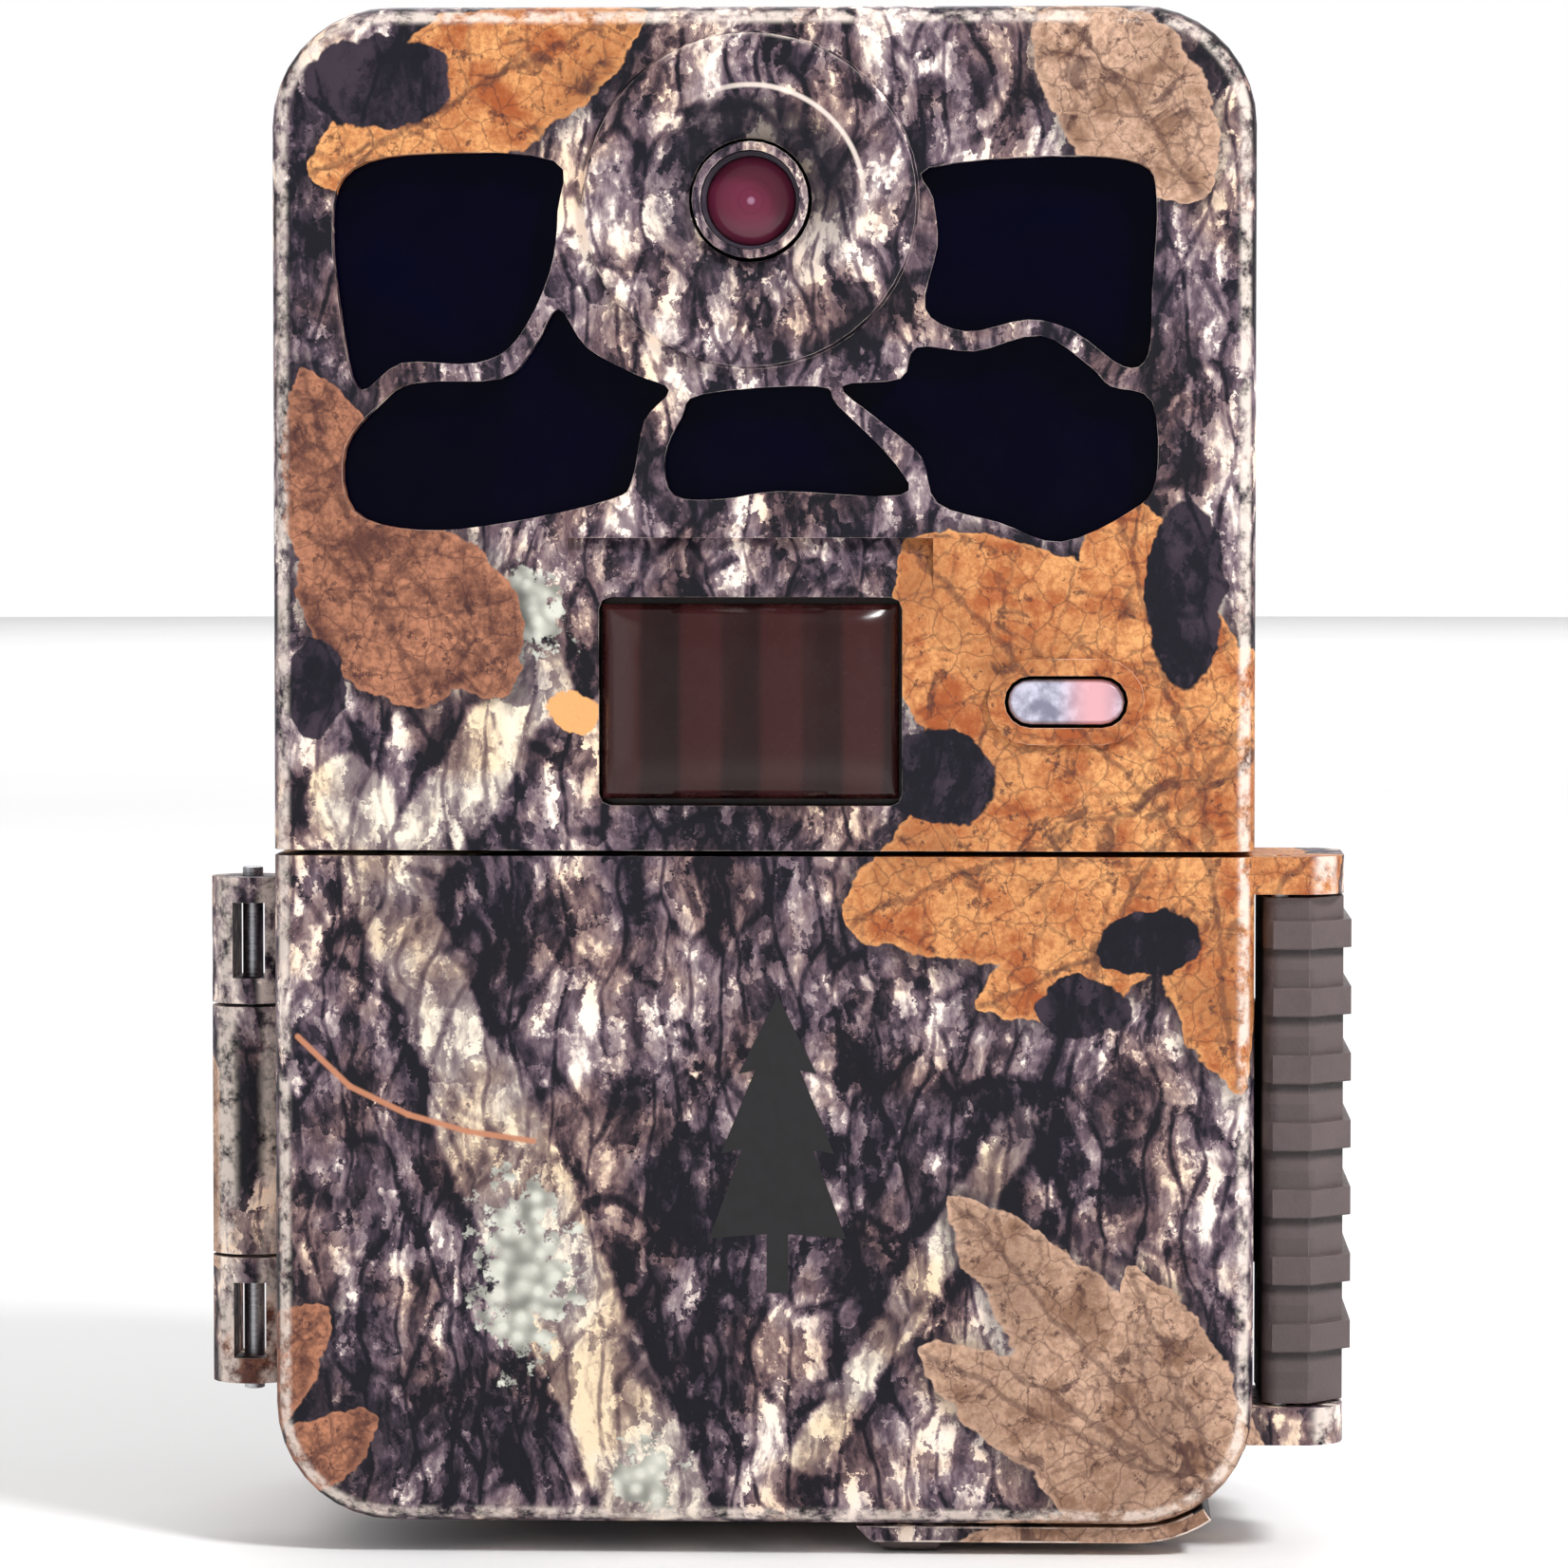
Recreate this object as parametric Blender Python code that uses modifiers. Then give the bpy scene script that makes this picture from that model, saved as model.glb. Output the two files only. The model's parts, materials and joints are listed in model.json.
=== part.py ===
"""Trail camera: a two-part case with a hinged lower door, a side latch, a slide-out battery tray and a
tilting steel tree bracket. Metres, +Z up, front towards -Y. The design below is drawn from the middle of
the case's underside, with y = 0 on the plane where the front shells meet the rear housing. ROOT_OFFSET
then puts the origin on the bracket's flat back, where it lies against the tree."""

import math

import bmesh
import bpy
from mathutils import Matrix, Vector

MM = 0.001

# Case
BODY_WIDTH = 83.0 * MM
BODY_HEIGHT = 128.3 * MM
DOOR_HEIGHT = 56.75 * MM
SEAM = 0.5 * MM
FRONT_DEPTH = 18.0 * MM
WALL = 2.0 * MM
CORNER = 10.0 * MM
FRONT_ROUND = 2.0 * MM
BACK_ROUND = 3.0 * MM
GAP = 0.3 * MM
ARC_STEPS = 9

# Optics and sensors on the upper front
OPTICS_X = -1.0 * MM
LENS_DROP = 16.3 * MM
POD_RADIUS = 14.2 * MM
POD_PROUD = 1.0 * MM
DISH_RADIUS = 9.6 * MM
DISH_DEPTH = 1.4 * MM
BARREL_RADIUS = 4.9 * MM
BARREL_PROUD = 0.5 * MM
BORE_RADIUS = 4.2 * MM
IRIS_RADIUS = 3.4 * MM
GLASS_INSET = 3.4 * MM
WINDOW_MARGIN_LEFT = 5.2 * MM
WINDOW_MARGIN_RIGHT = 8.4 * MM
WINDOW_TOP_MARGIN = 12.3 * MM
WINDOW_HEIGHT = 32.7 * MM
FILTER_THICK = 1.4 * MM
FILTER_LAP = 1.6 * MM
NOTCH_CLEAR = 1.2 * MM
MOTION_WIDTH = 25.6 * MM
MOTION_HEIGHT = 17.6 * MM
MOTION_RISE = 12.6 * MM
MOTION_BULGE = 3.0 * MM
MOTION_WALL = 1.0 * MM
BROW_HEIGHT = 4.6 * MM
BROW_DEPTH = 1.2 * MM
LIGHT_OFFSET = 26.6 * MM
LIGHT_LENGTH = 10.4 * MM
LIGHT_HEIGHT = 4.4 * MM
LIGHT_RIM = 1.4 * MM
POD_ROUND = 0.8 * MM
LIGHT_RIM_PROUD = 0.5 * MM
BROW_ABOVE = 0.4 * MM
BROW_HALF = 15.4 * MM

# Boards
BOARD = 1.6 * MM
MAIN_BOARD_Y = -3.6 * MM
LED_COLUMNS = 8
LED_RADIUS = 1.5 * MM

# Door, hinge and latch
KNUCKLE_RADIUS = 3.6 * MM
HINGE_PIN_RADIUS = 0.9 * MM
HINGE_PIN_CLEAR = 0.15 * MM
HINGE_LOW = 9.8 * MM
HINGE_HIGH = 54.0 * MM
REAR_KNUCKLE = 11.0 * MM
KNUCKLE_WINDOW = 6.6 * MM
KNUCKLE_WINDOW_HALF = 1.4 * MM
LATCH_LOW = 10.3 * MM
LATCH_REACH = 7.7 * MM
LATCH_BACK = 7.5 * MM
LATCH_PIVOT_OUT = 2.2 * MM
LATCH_PIVOT_Y = -14.2 * MM
LATCH_BARREL = 1.4 * MM
LATCH_PIN_RADIUS = 0.75 * MM
LATCH_PIN_CLEAR = 0.12 * MM
EAR_THICK = 3.2 * MM
RIB_COUNT = 7
RIB_PITCH = 5.7 * MM
RIB_HEIGHT = 2.4 * MM
RIB_PROUD = 1.1 * MM
RIB_FRONT_PROUD = 0.35 * MM
KEEPER_OUT = 2.4 * MM

# Control deck behind the door
DECK_GAP = 0.9 * MM
DECK_FRONT = -3.3 * MM
DECK_THICK = 1.5 * MM
SKIRT_BACK = 2.2 * MM
SCREEN_WIDTH = 32.0 * MM
SCREEN_HEIGHT = 25.5 * MM
SCREEN_INSET = 5.0 * MM
SCREEN_RISE = 24.0 * MM
BUTTON = 6.2 * MM
BUTTON_PITCH = 8.6 * MM
BUTTON_PROUD = 1.6 * MM
KEYPAD_INSET = 22.6 * MM
KEYPAD_Z = 38.0 * MM
MODE_OFFSET = 15.0 * MM
SWITCH_Z = 15.0 * MM
SWITCH_TRAVEL = 6.0 * MM
SWITCH_KNOB = 5.0 * MM
SWITCH_TALL = 3.6 * MM
CARD_WIDTH = 24.0 * MM
CARD_LENGTH = 32.0 * MM
CARD_THICK = 2.1 * MM
CARD_PROUD = 2.5 * MM
CARD_Z = 16.0 * MM

# Batteries and their tray
CELL_RADIUS = 7.25 * MM
CELL_LENGTH = 50.5 * MM
CELL_NUB_RADIUS = 2.7 * MM
CELL_NUB = 1.0 * MM
TRAY_WALL = 0.6 * MM
TRAY_FLOOR = 2.5 * MM
TRAY_SHELF = 1.2 * MM
TRAY_SIDE = 3.4 * MM
TRAY_AHEAD = 2.9 * MM
TRAY_BEHIND = 0.5 * MM
CAP_DROP = 1.7 * MM
CAP_CHAMFER = 2.2 * MM
TAB_WIDTH = 5.2 * MM
TAB_DEPTH = 9.4 * MM
TAB_DROP = 0.9 * MM
TAB_SEAT = 0.6 * MM
LIP_SETBACK = 2.0 * MM
TAB_TRAVEL = 2.0 * MM

# Tree bracket
BRACKET_GAP = 11.0 * MM
BRACKET_WIDTH = 64.0 * MM
BRACKET_HEIGHT = 56.0 * MM
BRACKET_PLATE = 2.0 * MM
BRACKET_CORNER = 5.0 * MM
STRAP_SLOT = 5.0 * MM
STRAP_WIDTH = 27.0 * MM
STRAP_EDGE = 3.5 * MM
BOSS_HALF = 12.0 * MM
EAR_RADIUS = 4.6 * MM
PIVOT_RADIUS = 2.0 * MM
PIVOT_CLEAR = 0.2 * MM
KNOB_RADIUS = 4.7 * MM
KNOB_LENGTH = 8.0 * MM

# Fasteners and sockets
SCREW_HEAD_RADIUS = 2.7 * MM
SCREW_HEAD = 2.0 * MM
SCREW_RADIUS = 1.25 * MM
SCREW_LENGTH = 12.0 * MM
WELL_RADIUS = 3.1 * MM
POST_RADIUS = 4.2 * MM
PILOT_RADIUS = 1.45 * MM
TRIPOD_PITCH = 12.0 * MM
TRIPOD_RADIUS = 3.175 * MM
TRIPOD_INSERT = 4.2 * MM
TRIPOD_DEPTH = 9.0 * MM
JACK_OFFSET = 15.0 * MM
JACK_RADIUS = 4.0 * MM
JACK_BORE = 3.0 * MM
PLUG_HEAD = 4.2 * MM

# Places that follow from the sizes above
HALF = BODY_WIDTH / 2
REAR_START = GAP
INNER_HALF = HALF - WALL
UPPER_LOW = DOOR_HEIGHT + SEAM
FACE_Y = -FRONT_DEPTH
INSIDE_Y = FACE_Y + WALL
LENS_Z = BODY_HEIGHT - LENS_DROP
MOTION_Z = UPPER_LOW + MOTION_RISE
HINGE_X = -HALF - KNUCKLE_RADIUS - GAP
HINGE_Y = REAR_START / 2
LATCH_X = HALF + LATCH_PIVOT_OUT
LATCH_HIGH = DOOR_HEIGHT - EAR_THICK - GAP
TRAY_WIDTH = 4 * CELL_RADIUS + 3 * GAP + 2 * TRAY_WALL
TRAY_RIGHT = HALF - TRAY_SIDE
TRAY_LEFT = TRAY_RIGHT - TRAY_WIDTH
TRAY_FRONT = TRAY_AHEAD
TRAY_BACK = TRAY_FRONT + TRAY_WIDTH
BACK_INSIDE = TRAY_BACK + TRAY_BEHIND
REAR_DEPTH = BACK_INSIDE + WALL
CELL_LAYER = CELL_LENGTH + 2 * GAP
TRAY_TOP = TRAY_FLOOR + 0.5 * MM + 2 * CELL_LAYER + 2 * TRAY_SHELF
PIVOT_Y = REAR_DEPTH + BRACKET_GAP / 2
PIVOT_Z = BODY_HEIGHT / 2
PLATE_FRONT = REAR_DEPTH + BRACKET_GAP
TREE_FACE = PLATE_FRONT + BRACKET_PLATE
ROOT_OFFSET = Vector((0, -TREE_FACE, -PIVOT_Z))
DECK_BACK = DECK_FRONT + DECK_THICK
SOCKET_Y = (REAR_START + REAR_DEPTH) / 2
JACK_X = TRAY_LEFT - JACK_OFFSET
TRIPOD_X = JACK_X - TRIPOD_PITCH
KEYPAD_X = INNER_HALF - DECK_GAP - KEYPAD_INSET
FILTER_Y = INSIDE_Y + GAP
LED_BOARD_Y = FILTER_Y + FILTER_THICK + 1.5 * MM
SCREW_X = HALF - 8.5 * MM
TOP_SCREW_Z = BODY_HEIGHT - 6.8 * MM
LOW_SCREW_Z = 8.2 * MM

# The five window openings, as percentages of the window area's half width and of its height. The strips
# of case left between them are the branches of the grille.
WINDOWS = {
    "upper_left": [(-95, 96), (-76, 100), (-46, 98), (-45, 85), (-47, 69), (-55, 52), (-65, 46), (-83, 46),
                   (-93, 39), (-97, 51), (-100, 82)],
    "lower_left": [(-45, 60), (-38, 50), (-26, 43), (-18, 39), (-24, 31), (-27, 16), (-32, 11), (-57, 5),
                   (-79, 3), (-95, 8), (-97, 24), (-88, 36), (-80, 41), (-59, 42), (-51, 50)],
    "centre": [(-10, 38), (18, 40), (23, 35), (37, 20), (38, 12), (9, 13), (-5, 11), (-17, 12), (-19, 22),
               (-15, 32)],
    "lower_right": [(42, 50), (56, 49), (72, 53), (84, 45), (89, 40), (99, 36), (100, 16), (94, 8), (77, 0),
                    (62, 5), (47, 10), (43, 22), (32, 32), (24, 40), (38, 42)],
    "upper_right": [(45, 96), (76, 99), (96, 97), (100, 88), (99, 65), (98, 48), (92, 45), (80, 54),
                    (69, 57), (54, 54), (44, 60), (47, 76), (46, 88)],
}

COLOURS = {
    "camo": ((0.16, 0.135, 0.125), 0.55, 0.0),
    "steel": ((0.45, 0.45, 0.46), 0.35, 1.0),
    "black_plastic": ((0.015, 0.015, 0.017), 0.45, 0.0),
    "gloss_black": ((0.004, 0.004, 0.008), 0.06, 0.0),
    "latch_brown": ((0.11, 0.09, 0.085), 0.6, 0.0),
    "lens_glass": ((0.22, 0.03, 0.06), 0.05, 0.0),
    "motion_brown": ((0.05, 0.03, 0.028), 0.25, 0.0),
    "clear": ((0.6, 0.57, 0.62), 0.15, 0.0),
    "board_green": ((0.02, 0.12, 0.05), 0.5, 0.0),
    "rubber": ((0.02, 0.02, 0.02), 0.8, 0.0),
    "button_grey": ((0.18, 0.18, 0.19), 0.6, 0.0),
    "screen": ((0.02, 0.03, 0.05), 0.08, 0.0),
    "brass": ((0.62, 0.44, 0.16), 0.35, 1.0),
    "cell": ((0.03, 0.03, 0.035), 0.35, 0.0),
    "card_blue": ((0.03, 0.07, 0.2), 0.5, 0.0),
}


# ---------------------------------------------------------------- scene and helpers

def clear_scene():
    for obj in list(bpy.data.objects):
        bpy.data.objects.remove(obj)


def make_collection(name):
    made = bpy.data.collections.new(name)
    bpy.context.scene.collection.children.link(made)
    return made


def make_material(name):
    colour, roughness, metallic = COLOURS[name]
    made = bpy.data.materials.new(name)
    made.use_nodes = True
    shader = made.node_tree.nodes["Principled BSDF"]
    shader.inputs["Base Color"].default_value = (*colour, 1.0)
    shader.inputs["Roughness"].default_value = roughness
    shader.inputs["Metallic"].default_value = metallic
    made.diffuse_color = (*colour, 1.0)
    return made


clear_scene()
PARTS = make_collection("trail_camera")
HELPERS = make_collection("cutters")
MATERIALS = {name: make_material(name) for name in COLOURS}


def make_empty(name, place, parent=None):
    empty = bpy.data.objects.new(name, None)
    PARTS.objects.link(empty)
    empty.location = place
    empty.parent = parent
    return empty


ROOT = make_empty("camera_origin", ROOT_OFFSET)


def joint_place(joint):
    """Where a joint's empty stands in the design, whatever carries it."""
    place = Vector((0, 0, 0))
    while joint is not ROOT:
        place += joint.location
        joint = joint.parent
    return place


def make_joint(name, place, carrier=None):
    carrier = carrier or ROOT
    return make_empty(name, Vector(place) - joint_place(carrier), carrier)


def add_mesh(name, mesh, material=None):
    """A part when it has a material, and otherwise a hidden helper. Both hang on the root."""
    obj = bpy.data.objects.new(name, mesh)
    if material:
        mesh.materials.append(MATERIALS[material])
        PARTS.objects.link(obj)
        mesh.shade_smooth()
        mesh.set_sharp_from_angle(angle=math.radians(35))
    else:
        HELPERS.objects.link(obj)
        obj.hide_render = True
        obj.display_type = "WIRE"
    obj.parent = ROOT
    return obj


def from_bmesh(name, bm, material=None):
    bmesh.ops.recalc_face_normals(bm, faces=bm.faces)
    mesh = bpy.data.meshes.new(name)
    bm.to_mesh(mesh)
    bm.free()
    return add_mesh(name, mesh, material)


def box(name, low, high, material=None, bevel=0.0, segments=2):
    low, high = Vector(low), Vector(high)
    bm = bmesh.new()
    bmesh.ops.create_cube(bm, size=1.0)
    size = high - low
    fit = Matrix.Translation((low + high) / 2) @ Matrix.Diagonal((*size, 1))
    bmesh.ops.transform(bm, verts=bm.verts, matrix=fit)
    if bevel:
        bmesh.ops.bevel(bm, geom=bm.edges[:], offset=bevel, segments=segments, profile=0.5, affect="EDGES")
    return from_bmesh(name, bm, material)


AXIS_TURN = {
    "X": Matrix.Rotation(math.pi / 2, 4, "Y"),
    "Y": Matrix.Rotation(-math.pi / 2, 4, "X"),
    "Z": Matrix.Identity(4),
    "-Y": Matrix.Rotation(math.pi / 2, 4, "X"),
}


def round_bar(name, axis, centre, start, end, radius, material=None, sides=20, end_radius=None):
    """A cylinder or cone along an axis, from start to end on it. centre gives the other two coordinates."""
    bm = bmesh.new()
    bmesh.ops.create_cone(
        bm, cap_ends=True, segments=sides, radius1=radius,
        radius2=radius if end_radius is None else end_radius, depth=end - start,
    )
    place = Vector(centre)
    place["XYZ".index(axis)] = (start + end) / 2
    bmesh.ops.transform(bm, verts=bm.verts, matrix=Matrix.Translation(place) @ AXIS_TURN[axis])
    return from_bmesh(name, bm, material)


def turned(name, profile, place, axis="Z", material=None, steps=20):
    """profile is (radius, height) from the top of the axis down the outside to the bottom."""
    bm = bmesh.new()
    rows = [bm.verts.new((r, 0, h)) for r, h in profile]
    for a, b in zip(rows, rows[1:]):
        bm.edges.new((a, b))
    mesh = bpy.data.meshes.new(name)
    bm.to_mesh(mesh)
    bm.free()
    obj = add_mesh(name, mesh, material)
    screw = obj.modifiers.new("turn", "SCREW")
    screw.steps = screw.render_steps = steps
    screw.use_merge_vertices = True
    screw.merge_threshold = 0.00001
    screw.use_normal_calculate = False
    obj.matrix_local = Matrix.Translation(place) @ AXIS_TURN[axis]
    return obj


# The turn that lays a flat curve's own x and y along the two axes that each prism's outline uses.
PRISM_TURN = {
    "Y": Matrix.Rotation(math.pi / 2, 4, "X"),
    "Z": Matrix.Identity(4),
    "X": Matrix(((0, 0, 1, 0), (1, 0, 0, 0), (0, 1, 0, 0), (0, 0, 0, 1))),
}


def prism(name, outlines, axis, low, high, material=None):
    """A flat outline, with any holes after it, extruded from low to high. Outlines are (x, z) along Y,
    (x, y) along Z and (y, z) along X."""
    curve = bpy.data.curves.new(name, "CURVE")
    curve.dimensions = "2D"
    curve.fill_mode = "BOTH"
    curve.extrude = (high - low) / 2
    for outline in outlines:
        spline = curve.splines.new("POLY")
        spline.points.add(len(outline) - 1)
        for point, (a, b) in zip(spline.points, outline):
            point.co = (a, b, 0, 1)
        spline.use_cyclic_u = True
    guide = bpy.data.objects.new(name + "_outline", curve)
    HELPERS.objects.link(guide)
    graph = bpy.context.evaluated_depsgraph_get()
    graph.update()
    mesh = bpy.data.meshes.new_from_object(guide.evaluated_get(graph))
    bpy.data.objects.remove(guide)
    bpy.data.curves.remove(curve)
    bm = bmesh.new()
    bm.from_mesh(mesh)
    bpy.data.meshes.remove(mesh)
    bmesh.ops.remove_doubles(bm, verts=bm.verts, dist=0.000001)
    bmesh.ops.dissolve_limit(bm, angle_limit=0.001, verts=bm.verts, edges=bm.edges, delimit=set())
    middle = Vector((0, 0, 0))
    middle["XYZ".index(axis)] = (low + high) / 2
    bmesh.ops.transform(bm, verts=bm.verts, matrix=Matrix.Translation(middle) @ PRISM_TURN[axis])
    return from_bmesh(name, bm, material)


def round_edges(obj, y, amount, segments, keep_z=None):
    """Rounds the outline's edge that lies in the plane y, apart from its stretch at height keep_z."""
    bm = bmesh.new()
    bm.from_mesh(obj.data)
    near = 0.00001
    edges = [
        e for e in bm.edges
        if all(abs(v.co.y - y) < near for v in e.verts)
        and not (keep_z is not None and all(abs(v.co.z - keep_z) < near for v in e.verts))
    ]
    bmesh.ops.bevel(bm, geom=edges, offset=amount, segments=segments, profile=0.5, affect="EDGES")
    bm.to_mesh(obj.data)
    bm.free()
    obj.data.shade_smooth()
    obj.data.set_sharp_from_angle(angle=math.radians(35))


def combine(target, operation, others):
    for other in others:
        made = target.modifiers.new(operation.lower() + "_" + other.name, "BOOLEAN")
        made.operation = operation
        made.solver = "EXACT"
        made.object = other


def cut(target, *cutters):
    combine(target, "DIFFERENCE", cutters)


def fuse(target, *additions):
    combine(target, "UNION", additions)


def move_to(joint, *objects):
    """Hangs parts on a joint's empty, with their meshes drawn from it."""
    place = joint_place(joint)
    for obj in objects:
        if obj.matrix_local == Matrix.Identity(4):
            obj.data.transform(Matrix.Translation(-place))
        else:
            obj.location -= place
        obj.parent = joint


def arc(centre, radius, start, end, steps):
    """Points on an arc, angles in degrees."""
    found = []
    for i in range(steps + 1):
        angle = math.radians(start + (end - start) * i / steps)
        found.append((centre[0] + radius * math.cos(angle), centre[1] + radius * math.sin(angle)))
    return found


def rounded(left, right, low, high, low_radius, high_radius=None, steps=ARC_STEPS):
    """A rectangle with round corners, whose lower and upper pairs may differ. A radius of 0 is square."""
    high_radius = low_radius if high_radius is None else high_radius
    corners = (
        (right, low, -1, 1, low_radius, -90), (right, high, -1, -1, high_radius, 0),
        (left, high, 1, -1, high_radius, 90), (left, low, 1, 1, low_radius, 180),
    )
    points = []
    for x, z, to_x, to_z, radius, start in corners:
        if radius:
            points += arc((x + to_x * radius, z + to_z * radius), radius, start, start + 90, steps)
        else:
            points.append((x, z))
    return points


def oval(x, z, length, height, steps=8):
    radius = height / 2
    reach = length / 2 - radius
    return arc((x + reach, z), radius, -90, 90, steps) + arc((x - reach, z), radius, 90, 270, steps)


def smooth_loop(points, steps=4):
    """A closed curve through the points, by the Catmull-Rom rule."""
    found = []
    count = len(points)
    for i in range(count):
        before, start, end, after = (Vector(points[(i + k) % count]) for k in (-1, 0, 1, 2))
        for j in range(steps):
            t = j / steps
            point = 0.5 * (
                2 * start + (end - before) * t + (2 * before - 5 * start + 4 * end - after) * t * t
                + (3 * start - before - 3 * end + after) * t ** 3
            )
            found.append(tuple(point))
    return found


# ---------------------------------------------------------------- case

def case_shell(name, low, high, low_radius, high_radius, keep_z):
    """A front shell: a tray whose face is at FACE_Y and whose back is open at y = 0."""
    shell = prism(name, [rounded(-HALF, HALF, low, high, low_radius, high_radius)], "Y", FACE_Y, 0, "camo")
    round_edges(shell, FACE_Y, FRONT_ROUND, 3, keep_z)
    inside = rounded(
        -INNER_HALF, INNER_HALF, low + WALL, high - WALL,
        max(low_radius - WALL, 0), max(high_radius - WALL, 0),
    )
    cut(shell, prism(name + "_inside", [inside], "Y", INSIDE_Y, WALL))
    return shell


def window_area():
    left = -HALF + WINDOW_MARGIN_LEFT
    right = HALF - WINDOW_MARGIN_RIGHT
    high = BODY_HEIGHT - WINDOW_TOP_MARGIN
    return left, right, high - WINDOW_HEIGHT, high


def make_front_housing():
    shell = case_shell("front_housing", UPPER_LOW, BODY_HEIGHT, 0, CORNER, UPPER_LOW)
    lens = (OPTICS_X, 0, LENS_Z)
    pod_front = FACE_Y - POD_PROUD
    pod = round_bar("pod", "Y", lens, pod_front, INSIDE_Y - GAP, POD_RADIUS, sides=48)
    round_edges(pod, pod_front, POD_ROUND, 2)
    light = (OPTICS_X + LIGHT_OFFSET, MOTION_Z)
    rim_outline = oval(*light, LIGHT_LENGTH + 2 * LIGHT_RIM, LIGHT_HEIGHT + 2 * LIGHT_RIM)
    rim = prism("light_rim", [rim_outline], "Y", FACE_Y - LIGHT_RIM_PROUD, FACE_Y + MM)
    posts = [
        round_bar(f"front_post_{side:+d}", "Y", (side * SCREW_X, 0, TOP_SCREW_Z), INSIDE_Y - MM, -GAP,
                  PILOT_RADIUS + MM, sides=16)
        for side in (-1, 1)
    ]
    fuse(shell, pod, rim, *posts)
    left, right, low, high = window_area()
    middle, half = (left + right) / 2, (right - left) / 2
    for name, outline in WINDOWS.items():
        points = [(middle + half * u / 100, low + (high - low) * v / 100) for u, v in outline]
        cut(shell, prism("window_" + name, [smooth_loop(points)], "Y", FACE_Y - WALL, INSIDE_Y + MM))
    dish = round_bar("lens_dish", "Y", lens, pod_front - 0.05 * MM, pod_front + DISH_DEPTH,
                     DISH_RADIUS, sides=40, end_radius=BARREL_RADIUS + GAP)
    hole = round_bar("lens_hole", "Y", lens, pod_front, INSIDE_Y + MM, BARREL_RADIUS + GAP, sides=32)
    half_width = MOTION_WIDTH / 2
    half_height = MOTION_HEIGHT / 2
    opening = rounded(OPTICS_X - half_width, OPTICS_X + half_width, MOTION_Z - half_height,
                      MOTION_Z + half_height, MM, steps=2)
    motion = prism("motion_opening", [opening], "Y", FACE_Y - MM, INSIDE_Y + MM)
    brow_low = MOTION_Z + half_height + BROW_ABOVE
    wedge = [(FACE_Y - 0.2 * MM, brow_low), (FACE_Y - 0.2 * MM, brow_low + BROW_HEIGHT),
             (FACE_Y + BROW_DEPTH, brow_low + BROW_HEIGHT)]
    brow = prism("brow", [wedge], "X", OPTICS_X - BROW_HALF, OPTICS_X + BROW_HALF)
    slot_outline = oval(*light, LIGHT_LENGTH, LIGHT_HEIGHT)
    slot = prism("light_opening", [slot_outline], "Y", FACE_Y - MM, INSIDE_Y + MM)
    pilots = [
        round_bar(f"front_pilot_{side:+d}", "Y", (side * SCREW_X, 0, TOP_SCREW_Z), -SCREW_LENGTH, MM,
                  PILOT_RADIUS, sides=12)
        for side in (-1, 1)
    ]
    cut(shell, dish, hole, motion, brow, slot, *pilots)


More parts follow.
